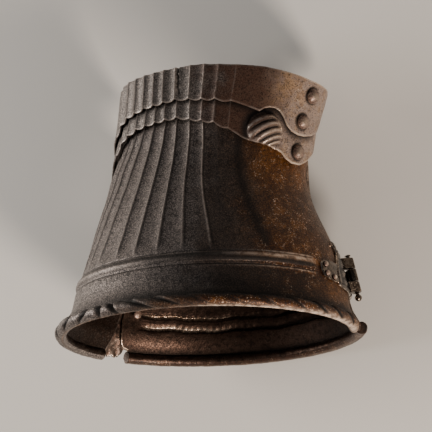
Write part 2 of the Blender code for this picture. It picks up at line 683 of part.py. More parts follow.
def leaf_plate(sections, edge_angle, outward_sign, outline, sheet):
    """Lobed leaf that follows the plate under it, from beside the knuckle outwards."""
    bm = bmesh.new()
    layers = []
    for stand in (PIECE_GAP + sheet, PIECE_GAP):
        grid = []
        for z, near, far in outline:
            turns = [near + (far - near) * k / LEAF_COLUMNS for k in range(LEAF_COLUMNS + 1)]
            grid.append([bm.verts.new(surface_point(sections, edge_angle + outward_sign * turn,
                                                    z, stand)) for turn in turns])
        layers.append(grid)
    rows, columns = len(outline), LEAF_COLUMNS + 1
    for grid in layers:
        for i in range(rows - 1):
            for j in range(columns - 1):
                bm.faces.new((grid[i][j], grid[i][j + 1], grid[i + 1][j + 1], grid[i + 1][j]))
    rim = [(i, 0) for i in range(rows)] + [(rows - 1, j) for j in range(1, columns)]
    rim += [(i, columns - 1) for i in range(rows - 2, -1, -1)]
    rim += [(0, j) for j in range(columns - 2, 0, -1)]
    for one, two in zip(rim, rim[1:] + rim[:1]):
        top, low = layers
        bm.faces.new((top[one[0]][one[1]], top[two[0]][two[1]],
                      low[two[0]][two[1]], low[one[0]][one[1]]))
    bmesh.ops.triangulate(bm, faces=bm.faces[:])
    bmesh.ops.recalc_face_normals(bm, faces=bm.faces[:])
    return bm


def knuckle_web(sections, edge_angle, span, outward_sign):
    """Short wall that joins a leaf's edge to its knuckle."""
    corners = []
    for share in span:
        z = PIN_FOOT_Z + (PIN_HEAD_Z - PIN_FOOT_Z) * share
        pin = pin_point(z)
        near = edge_angle + outward_sign * WEB_INSET_DEG
        foot = surface_point(sections, near + outward_sign * WEB_WIDTH_DEG, z, PIECE_GAP)
        inside = surface_point(sections, near, z, PIECE_GAP)
        out = (pin - inside).normalized()
        side = (foot - inside).normalized()
        grips = [pin + side * along + out * up for along, up in (WEB_GRIP_FAR, WEB_GRIP_NEAR)]
        corners.append((inside, foot, *grips))
    bm = bmesh.new()
    low = [bm.verts.new(p) for p in corners[0]]
    high = [bm.verts.new(p) for p in corners[1]]
    bm.faces.new(low)
    bm.faces.new(high[::-1])
    for k in range(4):
        n = (k + 1) % 4
        bm.faces.new((low[k], high[k], high[n], low[n]))
    bmesh.ops.triangulate(bm, faces=bm.faces[:])
    bmesh.ops.recalc_face_normals(bm, faces=bm.faces[:])
    return bm


def join_to(obj, bm, parent, pivot):
    """Fuse a shape into a piece; the shape itself stays hidden."""
    helper = add_piece(obj.name + "_joined", bm, obj.data.materials[0], parent, pivot)
    helper.hide_render = True
    helper.display_type = "WIRE"
    union = obj.modifiers.new("joined", "BOOLEAN")
    union.operation = "UNION"
    union.object = helper


def make_leaf(name, sections, edge_angle, sign, outline, extras, knuckles, rivets, plate,
              finish, parent, pivot):
    """Leaf with its knuckles, and the small rivets that hold it to its plate."""
    leaf = add_piece(name, leaf_plate(sections, edge_angle, sign, outline, LEAF_SHEET),
                     finish["hinge_iron"], parent, pivot)
    for extra in extras:
        join_to(leaf, leaf_plate(sections, edge_angle, sign, extra, TONGUE_SHEET), parent, pivot)
    for span in knuckles:
        join_to(leaf, knuckle(span), parent, pivot)
        join_to(leaf, knuckle_web(sections, edge_angle, span, sign), parent, pivot)
    hole = SHANK_RADIUS * LEAF_RIVET_SCALE + PIECE_GAP
    sheet = TONGUE_SHEET if extras else LEAF_SHEET
    for number, (turn, z) in enumerate(rivets):
        angle = edge_angle + sign * turn
        direction = surface_axis(sections, angle, z)
        place = surface_point(sections, angle, z, PIECE_GAP + sheet)
        stack = PIECE_GAP + sheet + CUFF_SHEET
        make_rivet("%s_rivet_%d" % (name, number + 1), place, direction, stack,
                   LEAF_RIVET_SCALE, finish["rivet_iron"], parent, pivot)
        drill(leaf, place, direction, hole, pivot)
        drill(plate, place, direction, hole, pivot)
    return leaf


def make_pin(finish, parent):
    """Hinge pin with a small ball at its foot and a peened head."""
    foot, head = pin_point(PIN_FOOT_Z), pin_point(PIN_HEAD_Z)
    length = (head - foot).length
    outline = [(r, length + past) for r, past in PEENED_HEAD]
    outline += [(PIN_RADIUS, length), (PIN_RADIUS, 0)]
    outline += [(FINIAL_RADIUS * r, -FINIAL_RADIUS * past) for r, past in BALL_SHARES]
    bm = turned(outline, RIVET_SIDES)
    bmesh.ops.transform(bm, matrix=facing(foot, (head - foot).normalized()), verts=bm.verts[:])
    return add_piece("hinge_pin", bm, finish, parent)


# ---- closing tab -----------------------------------------------------------------------

def make_tab(palm, finish, parent, pivot):
    """Tab outside the thumb-side seam, riveted to the inner plate."""
    profiles = []
    start, end = TAB_EDGES[0][0], TAB_EDGES[-1][0]
    for k in range(TAB_COLUMNS + 1):
        angle = start + (end - start) * k / TAB_COLUMNS
        low_z = straight_lookup([(row[0], row[1]) for row in TAB_EDGES], angle)
        high_z = straight_lookup([(row[0], row[2]) for row in TAB_EDGES], angle)
        heights = [low_z + (high_z - low_z) * share for share in TAB_ROW_SHARES]
        outside = [surface_point(CUFF_SECTIONS, angle, z, TAB_STAND + TAB_SHEET)
                   for z in heights]
        inside = [surface_point(CUFF_SECTIONS, angle, z, TAB_STAND)
                  for z in heights[::-1]]
        profiles.append(outside + inside)
    tab = add_piece("closing_tab", skin_from_profiles(profiles), finish["inner_plate_steel"],
                    parent, pivot)
    direction = surface_axis(CUFF_SECTIONS, TAB_RIVET_ANGLE, TAB_RIVET_Z)
    stand = TAB_STAND + TAB_SHEET
    place = surface_point(CUFF_SECTIONS, TAB_RIVET_ANGLE, TAB_RIVET_Z, stand)
    make_rivet("tab_rivet", place, direction, stand + CUFF_SHEET, TAB_RIVET_SCALE,
               finish["rivet_iron"], parent, pivot)
    hole = SHANK_RADIUS * TAB_RIVET_SCALE + PIECE_GAP
    drill(tab, place, direction, hole, pivot)
    drill(palm, place, direction, hole, pivot)


# ---- assembly --------------------------------------------------------------------------

def centre_over_origin(rest):
    """Slide the resting gauntlet until its box is centred over the origin."""
    bpy.context.view_layer.update()
    corners = []
    for obj in bpy.data.objects:
        if obj.type == "MESH" and not obj.hide_render:
            corners += [obj.matrix_world @ vertex.co for vertex in obj.data.vertices]
    for axis in (0, 1):
        values = [corner[axis] for corner in corners]
        rest.location[axis] -= (min(values) + max(values)) / 2


def build():
    clear_scene()
    finish = make_finishes()
    lean = radians(LEAN_DEG)
    lift = REST_EDGE_Y * cos(lean) + REST_EDGE_Z * sin(lean)
    rest = empty("resting_pose", (0, 0, lift))
    rest.rotation_euler = Euler((-pi / 2 - lean, 0, 0))

    cuff = make_cuff(finish["fluted_steel"], rest)
    pin_foot = pin_point(PIN_FOOT_Z)
    hinge_axis = empty("palm_hinge_axis", pin_foot, rest)
    palm = make_palm(finish["inner_plate_steel"], hinge_axis, pin_foot)
    make_leaf("hinge_leaf_cuff", CUFF_SECTIONS, CUFF_END - LEAF_INSET_DEG, -1,
              CUFF_LEAF_OUTLINE, (CUFF_TONGUE_OUTLINE,), CUFF_KNUCKLES, CUFF_LEAF_RIVETS,
              cuff, finish, rest, Vector((0, 0, 0)))
    make_leaf("hinge_leaf_palm", PALM_SECTIONS, PALM_START + LEAF_INSET_DEG, 1,
              PALM_LEAF_OUTLINE, (), PALM_KNUCKLES, PALM_LEAF_RIVETS,
              palm, finish, hinge_axis, pin_foot)
    make_pin(finish["hinge_iron"], rest)
    make_tab(palm, finish, hinge_axis, pin_foot)

    lower_pivot = pivot_middle(LOWER_LAME_SECTIONS, LOWER_PIVOTS)
    lower_axis = empty("lower_lame_axis", lower_pivot, rest)
    lower = make_lame("lower_lame", LOWER_LAME_SECTIONS, LOWER_LAME_FOOT_EDGE,
                      LOWER_LAME_HAND_EDGE, LOWER_LAME_ROW_COUNTS, boss_stand,
                      finish["lame_steel"], lower_axis, lower_pivot)

    upper_pivot = pivot_middle(UPPER_LAME_SECTIONS, UPPER_PIVOTS)
    upper_axis = empty("upper_lame_axis", upper_pivot, rest)
    upper = make_lame("upper_lame", UPPER_LAME_SECTIONS, UPPER_LAME_FOOT_EDGE,
                      UPPER_LAME_HAND_EDGE, UPPER_LAME_ROW_COUNTS, no_bulge,
                      finish["lame_steel"], upper_axis, upper_pivot)
    rivet_lames(cuff, lower, upper, finish["rivet_iron"], lower_pivot, upper_pivot)
    centre_over_origin(rest)


build()
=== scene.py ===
"""A browned steel gauntlet cuff, fluted and roped, lying on its inner-wrist plate.

The cuff is described as it is worn, in millimetres: Z runs up the forearm from the rim to the
hand, -Y is the back of the wrist and +X the little-finger side. An angle around the wrist is
0 at the back and grows towards the little finger. Each finished mesh is then turned into the
frame's own place, lying on the floor.
"""
import json
from math import cos, pi, radians, sin, tau
import bmesh
import bpy
import numpy as np
from mathutils import Matrix, Vector


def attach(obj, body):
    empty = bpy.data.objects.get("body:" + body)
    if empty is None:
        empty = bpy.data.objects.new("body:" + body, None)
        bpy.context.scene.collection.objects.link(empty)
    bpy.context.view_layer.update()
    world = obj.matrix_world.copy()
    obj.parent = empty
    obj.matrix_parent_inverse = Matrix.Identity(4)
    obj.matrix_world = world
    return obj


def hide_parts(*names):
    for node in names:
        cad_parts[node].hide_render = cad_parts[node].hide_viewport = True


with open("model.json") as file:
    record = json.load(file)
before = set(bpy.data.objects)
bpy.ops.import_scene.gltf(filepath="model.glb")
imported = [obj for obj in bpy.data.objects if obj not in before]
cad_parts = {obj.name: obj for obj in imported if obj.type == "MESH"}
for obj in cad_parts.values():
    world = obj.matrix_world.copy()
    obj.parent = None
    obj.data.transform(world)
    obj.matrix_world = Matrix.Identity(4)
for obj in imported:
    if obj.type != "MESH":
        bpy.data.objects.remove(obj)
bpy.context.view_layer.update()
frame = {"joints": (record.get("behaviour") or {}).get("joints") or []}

# ---- How the cuff lies -------------------------------------------------------------------
# It rests on the flat middle of its inner plate, which leans a little past level, so the
# rim stands at one end and the hand's opening at the other. The middle between the lower
# lame's two pivots is the one point whose place is known both as worn and as lying.
LEAN = radians(20.57)
PIVOT_AS_WORN = Vector((-0.497, -3.653, 81.0))

joints = {joint["name"]: joint for joint in frame["joints"]}
LYING = Matrix.Rotation(-pi / 2 - LEAN, 4, "X")
pivot = Vector(joints["lower_lame_pivot"]["pos_m"])
to_frame = (Matrix.Translation(pivot) @ LYING @ Matrix.Scale(0.001, 4)
            @ Matrix.Translation(-PIVOT_AS_WORN))

# ---- Camera ------------------------------------------------------------------------------
# The cuff is seen from the back of the wrist, a little round towards the little finger and
# from just below its rim, so that the eye looks up into it. The lens is long, and stands
# well above the floor because the cuff lies down.
VIEW_ROUND = radians(28.0)
VIEW_BELOW = radians(14.5)
VIEW_DISTANCE = 2000.0
VIEW_HEIGHT = 57.6
VIEW_ASIDE = 2.3
VIEW_WIDTH = 206.9
SENSOR = 36.0

view_right = Vector((cos(VIEW_ROUND), sin(VIEW_ROUND), 0))
view_back = Vector((sin(VIEW_ROUND) * cos(VIEW_BELOW), -cos(VIEW_ROUND) * cos(VIEW_BELOW),
                    -sin(VIEW_BELOW)))
view_up = view_back.cross(view_right)
view_target = Vector((0, 0, VIEW_HEIGHT)) + view_right * VIEW_ASIDE
view_turn = LYING.to_3x3() @ Matrix((view_right, view_up, view_back)).transposed()

lens = bpy.data.cameras.new("studio_lens")
lens.sensor_width = SENSOR
lens.lens = SENSOR * VIEW_DISTANCE / VIEW_WIDTH
lens.clip_start, lens.clip_end = 0.05, 20.0
camera = bpy.data.objects.new("studio_camera", lens)
bpy.context.scene.collection.objects.link(camera)
camera.matrix_world = (Matrix.Translation(to_frame @ (view_target + view_back * VIEW_DISTANCE))
                       @ view_turn.to_4x4())
bpy.context.scene.camera = camera

# ---- Floor and light ---------------------------------------------------------------------
# A plain pale studio floor. One long soft light stands far round to the thumb side, so that
# the flutes throw crisp shadows; a small warm one stands low at the rim and lights the
# inside and the little-finger flank. The room itself is dim.
FLOOR_HALF = 6.0
# The floor lies this far under what stands on it, so that the two faces stay apart
FLOOR_DROP = 0.0002
FLOOR_HEX = "#d6d2cb"
ROOM_HEX = "#c9ccd2"
ROOM_STRENGTH = 0.22


def linear(hex_colour):
    """Linear RGBA of an sRGB hex colour."""
    parts = [int(hex_colour[k:k + 2], 16) / 255 for k in (1, 3, 5)]
    return [c / 12.92 if c <= 0.04045 else ((c + 0.055) / 1.055) ** 2.4 for c in parts] + [1.0]


def add(tree, kind, inputs=(), out=0, **settings):
    """One output socket of a new node with its settings and links.

    Inputs are values or sockets, in the order of the node's own or by their name or number.
    """
    node = tree.nodes.new(kind)
    for key, value in settings.items():
        setattr(node, key, value)
    for key, value in inputs.items() if isinstance(inputs, dict) else enumerate(inputs):
        if isinstance(value, bpy.types.NodeSocket):
            tree.links.new(value, node.inputs[key])
        else:
            node.inputs[key].default_value = value
    return node.outputs[out] if len(node.outputs) else node


floor_paint = bpy.data.materials.new("pale_studio_floor")
floor_paint.use_nodes = True
floor_shader = floor_paint.node_tree.nodes["Principled BSDF"]
floor_shader.inputs["Base Color"].default_value = linear(FLOOR_HEX)
floor_shader.inputs["Roughness"].default_value = 0.75
floor_mesh = bpy.data.meshes.new("studio_floor")
floor_mesh.from_pydata([(-FLOOR_HALF, -FLOOR_HALF, 0), (FLOOR_HALF, -FLOOR_HALF, 0),
                        (FLOOR_HALF, FLOOR_HALF, 0), (-FLOOR_HALF, FLOOR_HALF, 0)],
                       [], [(0, 1, 2, 3)])
floor_mesh.materials.append(floor_paint)
floor = bpy.data.objects.new("studio_floor", floor_mesh)
floor.location.z = -FLOOR_DROP
bpy.context.scene.collection.objects.link(floor)

room = bpy.data.worlds.new("studio_room")
room.use_nodes = True
room.node_tree.nodes["Background"].inputs["Color"].default_value = linear(ROOM_HEX)
room.node_tree.nodes["Background"].inputs["Strength"].default_value = ROOM_STRENGTH
bpy.context.scene.world = room

# name, direction as worn (x, y, z), distance, size (mm), power (W), colour
LAMPS = (
    ("key_from_thumb_side", (-0.91, -0.41, 0.05), 900, 620, 9.0, "#fff8f1"),
    ("warm_from_rim", (0.56, -0.24, -0.79), 900, 260, 10.0, "#fff0e2"),
)
for name, direction, distance, size, power, hex_colour in LAMPS:
    light = bpy.data.lights.new(name, "AREA")
    light.shape = "DISK"
    light.size = size / 1000
    light.energy = power
    light.color = linear(hex_colour)[:3]
    lamp = bpy.data.objects.new(name, light)
    bpy.context.scene.collection.objects.link(lamp)
    aim = LYING.to_3x3() @ Vector(direction).normalized()
    lamp.location = to_frame @ Vector((0, 0, VIEW_HEIGHT)) + aim * distance / 1000
    lamp.rotation_mode = "QUATERNION"
    lamp.rotation_quaternion = (-aim).to_track_quat("-Z", "Y")
    lamp.visible_camera = False

# ---- Cuff plate --------------------------------------------------------------------------
# The plate that wraps the back of the forearm: one sheet of steel about 1.2 mm thick,
# raised hot to a flare, then fluted over a stake in twelve channels, the first and the last
# of them soft. A half-round rib between two scribed lines parts them from the plain band.
CUFF_SHEET = 1.2
# (z, half widths: little-finger side, thumb side, back of the wrist, inner wrist)
CUFF_SECTIONS = (
    (1.0, 70.0, 74.0, 65.0, 62.5), (4.6, 69.4, 72.0, 63.4, 61.2),
    (9.0, 68.0, 69.2, 61.2, 59.2), (19.0, 66.4, 66.6, 58.4, 56.6),
    (26.0, 64.8, 64.2, 56.4, 54.4), (40.0, 60.0, 59.8, 51.5, 49.4),
    (54.0, 53.0, 56.2, 46.4, 44.4), (66.0, 48.5, 52.8, 41.8, 40.0),
    (76.0, 47.4, 50.8, 38.0, 37.2), (86.0, 49.0, 47.0, 35.4, 35.4),
    (96.0, 49.4, 43.5, 33.6, 34.4), (104.0, 49.0, 40.6, 30.8, 34.0),
)
# (angle, z of the wrist edge there)
CUFF_WRIST_EDGE = (
    (-112.4, 84.0), (-95.0, 86.0), (-72.0, 90.0), (-45.0, 98.0), (-20.0, 102.0),
    (0.0, 103.0), (20.0, 101.0), (40.0, 95.0), (60.0, 90.5), (80.0, 88.0), (112.0, 84.0),
)
# Angles of the thumb-side edge, of its foot at the rim and of the hinge edge; z between
# which the thumb-side edge slants
CUFF_START, CUFF_START_AT_RIM, CUFF_END = -112.4, -107.5, 112.0
CUFF_SLANT_TOP, CUFF_SLANT_FOOT = 24.0, 1.0
# (z, how far the sheet stands out): scribed line, half-round rib, scribed line
CUFF_RIB = (
    (18.6, 0.0), (19.3, -0.05), (19.7, -0.3), (20.1, -0.05), (21.0, 0.05), (21.6, 0.55),
    (22.5, 1.0), (23.4, 1.15), (24.3, 1.0), (25.2, 0.5), (25.8, 0.0), (26.3, -0.2),
    (26.9, 0.0),
)
# (angle, how bright the rib is rubbed, partly as painted highlight, z of the rubbed line, its
# half width)
RIB_RUBBED_AND_LIT = ((-60.0, 0.9, 23.0, 0.6), (-10.0, 0.9, 23.0, 0.6), (8.0, 0.15, 23.0, 0.6),
            (24.0, 0.1, 24.2, 0.7), (36.0, 1.1, 24.7, 0.8), (60.0, 1.7, 24.8, 1.0))
# (angle, how dark the painted shade lies above the rib's crest, below it)
RIB_DARK = ((-60.0, 0.2, 0.0), (-28.0, 0.5, 0.1), (-4.0, 0.85, 0.3), (14.0, 1.0, 0.7),
            (28.0, 0.9, 0.85), (38.0, 0.1, 1.0))
# z between which below turns to above
RIB_CREST = (22.9, 24.0)
# The borders of the scribed lines are rubbed bright, partly as painted highlight: their z, their
# half width, how bright at an angle
LINE_BORDERS, BORDER_WIDTH = (18.9, 26.7), 0.28
BORDER_RUBBED_AND_LIT = ((18.0, 0.0), (34.0, 0.7), (60.0, 1.1))
# (angle, how much darker the band below the rib is made)
BAND_DARK = ((-20.0, 0.0), (10.0, 0.2), (45.0, 0.75), (72.0, 0.6), (88.0, 0.3))
# (angle, how dark the painted shadow lies in the seam between the band and the rim)
SEAM_DARK = ((-60.0, 0.45), (-25.0, 0.5), (-8.0, 0.9), (50.0, 1.0), (90.0, 0.7))
# (angle, how much of the rib and its lines there is)
RIB_FADE = ((-103.0, 0.0), (-98.0, 1.0), (70.5, 1.0), (75.5, 0.0))
# Ridges between the flutes, from the thumb side: angle at the cuff's foot, at its wrist,
# and on the lames
RIDGES = (
    (-86.2, -64.7, -63.5), (-76.0, -57.0, -56.5), (-66.0, -49.5, -49.0),
    (-56.0, -42.5, -40.5), (-46.0, -35.5, -31.0), (-35.5, -27.2, -22.5),
    (-21.5, -18.2, -14.5), (-10.8, -9.0, -7.3), (0.8, -0.8, 0.6), (12.4, 7.3, 8.0),
    (25.0, 15.0, 14.6), (37.5, 23.5, 21.4), (50.2, 35.5, 30.0),
)
FLUTES = len(RIDGES) - 1
# z of the two ends that the angles are for
FLUTE_FOOT, FLUTE_WRIST = 25.0, 95.0
# Share of the full depth in the first and the last channel; height of a ridge between two
SOFT_SHARE, RIDGE_HEIGHT = 0.55, 0.35
# z between which the flutes deepen, from the rib's upper line on
FLUTES_FADE_FROM, FLUTES_FULL_FROM = 26.9, 32.5
# Where the columns of the mesh fall across one flute: close beside the sharp ridges
FLUTE_COLUMNS = (0.0, 0.025, 0.055, 0.10, 0.17, 0.27, 0.38, 0.5,
                 0.62, 0.73, 0.83, 0.90, 0.945, 0.975)
# Half widths of a crest rubbed bright, partly as painted highlight, and of the line of painted
# shade beside it, in flutes
CREST_WIDTH, SHADE_LINE_PLACE, SHADE_LINE_WIDTH = 0.035, 0.09, 0.06
# The first ridges on the thumb side are faint
FAINT_RIDGES = (-0.5, 3.0)
# The ridge that is rubbed brightest on the cuff, partly as painted highlight, and the places
# between which the ridges turn low and unworn; the last is a soft line of painted shade
BRIGHTEST_RIDGE, SOFT_RIDGES = 9.9, (10.4, 10.8)
BRIGHT_WIDTH, LAST_RIDGE_WIDTH = 0.6, 0.25
LAST_RIDGE_BRIGHT = 0.4
# How dark the painted shade lies beside the ridges and along the last one
CUFF_RIDGE_SHADE = 0.9
# Width of the plain flank past the last ridge, in flutes
PLAIN_FLANK_FLUTES = 5.0


def ramp(value, start, end):
    """0 at the start and before it, 1 at the end and past it; the end may be the smaller."""
    return np.clip((value - start) / (end - start), 0.0, 1.0)


def bump(distance, width):
    """1 at no distance, fading smoothly to 0 over about two widths."""
    return np.exp(-(distance / width) ** 2)


def straight(rows, key, column=1):
    """One column of a table at key, on straight lines."""
    return np.interp(key, [row[0] for row in rows], [row[column] for row in rows])


def smooth(rows, key):
    """All values of a table at key, on a smooth curve through its rows."""
    table = np.array(rows, float)
    keys = table[:, 0]
    key = np.clip(key, keys[0], keys[-1])
    slopes = np.gradient(table[:, 1:], keys, axis=0)
    row = np.clip(np.searchsorted(keys, key) - 1, 0, len(keys) - 2)
    step = (keys[row + 1] - keys[row])[..., None]
    t = (key - keys[row])[..., None] / step
    return (table[row, 1:] * (1 + 2 * t) * (1 - t) ** 2 + slopes[row] * step * t * (1 - t) ** 2
            + table[row + 1, 1:] * t * t * (3 - 2 * t) + slopes[row + 1] * step * t * t * (t - 1))


def oval(sections, angle, z, stand=0.0):
    """Points of an oval section, moved out along it by stand, and the outward directions."""
    angle, z, stand = np.broadcast_arrays(np.asarray(angle, float), z, stand)
    little, thumb, back, inner = np.moveaxis(smooth(sections, z), -1, 0)
    s, c = np.sin(np.radians(angle)), np.cos(np.radians(angle))
    half_x = np.where(s > 0, little, thumb)
    half_y = np.where(c > 0, back, inner)
    out = np.stack([half_y * s, -half_x * c, 0 * s], -1)
    out /= np.linalg.norm(out, axis=-1, keepdims=True)
    return np.stack([half_x * s, -half_y * c, z], -1) + out * stand[..., None], out


def flute_angle(place, z, start, end):
    """Angle of a column: place is -1 at the start, 0 to 12 at the ridges, 13 at the end.

    On the lames the ridges run straight, and z is None.
    """
    foot, wrist, lame = [np.interp(place, range(FLUTES + 1), column) for column in zip(*RIDGES)]
    angle = lame if z is None else foot + (wrist - foot) * ramp(z, FLUTE_FOOT, FLUTE_WRIST)
    angle = np.where(place < 0, angle + (angle - start) * place, angle)
    return np.where(place > FLUTES, angle + (end - angle) * (place - FLUTES), angle)


def column_places(before, after):
    """Places of the columns: plain ones before the flutes, the flutes', plain ones after."""
    flutes = [k + c for k in range(FLUTES) for c in FLUTE_COLUMNS]
    return np.array([k / before - 1 for k in range(before)] + flutes
                    + [FLUTES + k / after for k in range(after + 1)])


def flute_marks(place, fade, line_shade):
    """What the flute tree and the finish read: place, share of the depth, nearness to a ridge,
    and the painted shade in the line beside each ridge."""
    inside = (place >= 0) & (place <= FLUTES)
    strength = fade * ramp(place, *FAINT_RIDGES) * inside
    share = np.where((place < 1) | (place >= FLUTES - 1), SOFT_SHARE, 1.0)
    bright = np.where(place > FLUTES - 0.5, LAST_RIDGE_BRIGHT, 1.0)
    return {"flute": np.where(inside, place, 0.0), "flute_share": share * strength,
            "ridge": bump(place - np.round(place), CREST_WIDTH) * bright * strength,
            "grime": line_shade * bump(place % 1 - SHADE_LINE_PLACE, SHADE_LINE_WIDTH) * strength}


def edge_distance(grid, borders=(True, True, True, True)):
    """Distance in millimetres from a point of a sheet to its nearest free border."""
    along = np.cumsum(np.linalg.norm(np.diff(grid, axis=1, prepend=grid[:, :1]), axis=-1), 1)
    across = np.cumsum(np.linalg.norm(np.diff(grid, axis=0, prepend=grid[:1]), axis=-1), 0)
    far = np.full(along.shape, 1e3)
    ways = (along, along[:, -1:] - along, across, across[-1:] - across)
    return np.minimum.reduce([way if free else far for way, free in zip(ways, borders)])


# A rounded edge has points at these shares of the way from the outer to the inner face
ROUNDED = [0.25, 0.5, 0.75]


def wall(outer, inner, marks):
    """Closed sheet from outer and inner grids (columns x rows), its edges rounded over."""
    def rounded(a, b, before):
        # Over the edge from a to b, bulging away from the row before a
        middle, reach = (a + b) / 2, np.linalg.norm(a - b, axis=-1, keepdims=True) / 2
        way = a - before
        way /= np.linalg.norm(way, axis=-1, keepdims=True)
        return [middle + (a - middle) * cos(pi * share) + way * reach * sin(pi * share)
                for share in ROUNDED]

    rows = outer.shape[1]
    rims = len(ROUNDED)
    loop = ([outer[:, k] for k in range(rows)] + rounded(outer[:, -1], inner[:, -1], outer[:, -2])
            + [inner[:, k] for k in range(rows - 1, -1, -1)]
            + rounded(inner[:, 0], outer[:, 0], inner[:, 1]))
    loop = np.stack(loop, 1)
    source = np.array(list(range(rows)) + [rows - 1] * rims + list(range(rows - 1, -1, -1))
                      + [0] * rims)
    inside = np.array([0.0] * rows + ROUNDED + [1.0] * rows + ROUNDED[::-1])
    columns, length = loop.shape[:2]
    index = np.arange(columns * length).reshape(columns, length)
    turned = np.roll(index, -1, axis=1)
    faces = np.stack([index[:-1], turned[:-1], turned[1:], index[1:]], -1).reshape(-1, 4).tolist()
    for column in (0, columns - 1):
        ring = index[column]
        low = rows + rims
        for k in range(rows - 1):
            quad = [ring[k], ring[k + 1], ring[low + rows - 2 - k], ring[low + rows - 1 - k]]
            faces.append(quad if column == 0 else quad[::-1])
        hand = [ring[k] for k in range(rows - 1, low + 1)]
        foot = [ring[k] for k in range(low + rows - 1, length)] + [ring[0]]
        faces += [hand, foot] if column == 0 else [hand[::-1], foot[::-1]]
    mesh = bpy.data.meshes.new("sheet")
    mesh.from_pydata(loop.reshape(-1, 3).tolist(), [], faces)
    for key, value in marks.items():
        store(mesh, key, value[:, source])
    store(mesh, "inside", np.broadcast_to(inside, (columns, length)))
    bm = bmesh.new()
    bm.from_mesh(mesh)
    if bm.calc_volume(signed=True) < 0:
        bmesh.ops.reverse_faces(bm, faces=bm.faces[:])
    bm.to_mesh(mesh)
    bm.free()
    return mesh


def store(mesh, name, values):
    """Number or vector for each vertex, kept on the mesh for the tree and the finish."""
    values = np.asarray(values, float)
    if values.shape[-1:] == (3,) and values.size == len(mesh.vertices) * 3:
        mesh.attributes.new(name, "FLOAT_VECTOR", "POINT").data.foreach_set(
            "vector", values.ravel())
    else:
        mesh.attributes.new(name, "FLOAT", "POINT").data.foreach_set("value", values.ravel())


# Edges between faces that meet more sharply than this are hard
SHARP_FROM = radians(35.0)
MATH, VECTORS = "ShaderNodeMath", "ShaderNodeVectorMath"
STORED, MOVE = "GeometryNodeInputNamedAttribute", "GeometryNodeSetPosition"


def new_tree(name, inputs):
    """Geometry Nodes tree with named inputs; gives the tree and its input sockets by name."""
    tree = bpy.data.node_groups.new(name, "GeometryNodeTree")
    tree.interface.new_socket("Geometry", in_out="OUTPUT", socket_type="NodeSocketGeometry")
    tree.interface.new_socket("Geometry", in_out="INPUT", socket_type="NodeSocketGeometry")
    for label, kind in inputs:
        tree.interface.new_socket(label, in_out="INPUT", socket_type="NodeSocket" + kind)
    source = tree.nodes.new("NodeGroupInput")
    return tree, {socket.name: socket for socket in source.outputs if socket.name}


def close_tree(tree, geometry, material):
    """Every tree ends alike: instances made real, then the material set."""
    real = add(tree, "GeometryNodeRealizeInstances", {"Geometry": geometry})
    done = add(tree, "GeometryNodeSetMaterial", {"Geometry": real, "Material": material})
    add(tree, "NodeGroupOutput", {0: done})


def run_tree(mesh, tree, **values):
    """Plain mesh that a tree makes of another, with the tree's inputs set."""
    start = bpy.data.objects.new("blank", mesh)
    bpy.context.scene.collection.objects.link(start)
    modifier = start.modifiers.new("tree", "NODES")
    modifier.node_group = tree
    for item in tree.interface.items_tree:
        key = item.name.lower().replace(" ", "_")
        if item.in_out == "INPUT" and key in values:
            modifier[item.identifier] = values[key]
    graph = bpy.context.evaluated_depsgraph_get()
    done = bpy.data.meshes.new_from_object(
        start.evaluated_get(graph), preserve_all_data_layers=True, depsgraph=graph)
    start.modifiers.clear()
    bpy.data.objects.remove(start)
    return done


def finish_piece(name, mesh, body, nodes):
    """Piece at the origin with its place in its mesh, riding on its body."""
    mesh.transform(to_frame)
    mesh.shade_smooth()
    mesh.set_sharp_from_angle(angle=SHARP_FROM)
    mesh.name = name
    piece = bpy.data.objects.new(name, mesh)
    bpy.context.scene.collection.objects.link(piece)
    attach(piece, body)
    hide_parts(*nodes)


# The tree that flutes and planishes a sheet: it sinks each channel between two ridges, and
# leaves the shallow unevenness of the hammer all over.
flute_tree, tin = new_tree("flutes_and_hammer_marks", (
    ("Channel depth", "Float"), ("Ridge height", "Float"), ("Dent depth", "Float"),
    ("Dent size", "Float"), ("Seed", "Float"), ("Sheet material", "Material")))
place, share = (add(flute_tree, STORED, (label,), data_type="FLOAT")
                for label in ("flute", "flute_share"))
outward = add(flute_tree, STORED, ("outward",), data_type="FLOAT_VECTOR")
across = add(flute_tree, MATH, (place,), operation="FRACT")
centred = add(flute_tree, MATH, (across, 2.0, -1.0), operation="MULTIPLY_ADD")
squared = add(flute_tree, MATH, (centred, centred), operation="MULTIPLY")
channel = add(flute_tree, MATH, (1.0, squared), operation="SUBTRACT")
sunk = add(flute_tree, MATH, (channel, tin["Channel depth"]), operation="MULTIPLY")
stand = add(flute_tree, MATH, (tin["Ridge height"], sunk), operation="SUBTRACT")
fluted = add(flute_tree, MATH, (stand, share), operation="MULTIPLY")
spot = add(flute_tree, "GeometryNodeInputPosition")
frequency = add(flute_tree, MATH, (1.0, tin["Dent size"]), operation="DIVIDE")
dents = add(flute_tree, "ShaderNodeTexNoise",
            {"Vector": spot, "W": tin["Seed"], "Scale": frequency, "Detail": 2.0},
            noise_dimensions="4D")
uneven = add(flute_tree, MATH, (dents, -0.5), operation="ADD")
beaten = add(flute_tree, MATH, (uneven, tin["Dent depth"], fluted), operation="MULTIPLY_ADD")
push = add(flute_tree, VECTORS, {0: outward, "Scale": beaten}, operation="SCALE")
moved = add(flute_tree, MOVE, {"Geometry": tin["Geometry"], "Offset": push})
close_tree(flute_tree, moved, tin["Sheet material"])


# The soot colour serves for the stains and also as painted shade
SOOT_AND_SHADE_HEX, DARK_GRAIN_HEX = "#15100d", "#6b584a"
# Size in millimetres and detail of the patterns in the patina. The grain, 0.6 mm unless a
# metal is given its own, is coarser than the real pitting, so that it shows
PATCHES, BLOTCHES, MOTTLE, SPECKS = (15.0, 3.0), (6.0, 3.0), (2.6, 4.0), (0.7, 1.0)
# Degrees by which the patches shift where the steel turns dark or brown
PATCH_REACH = 44.0


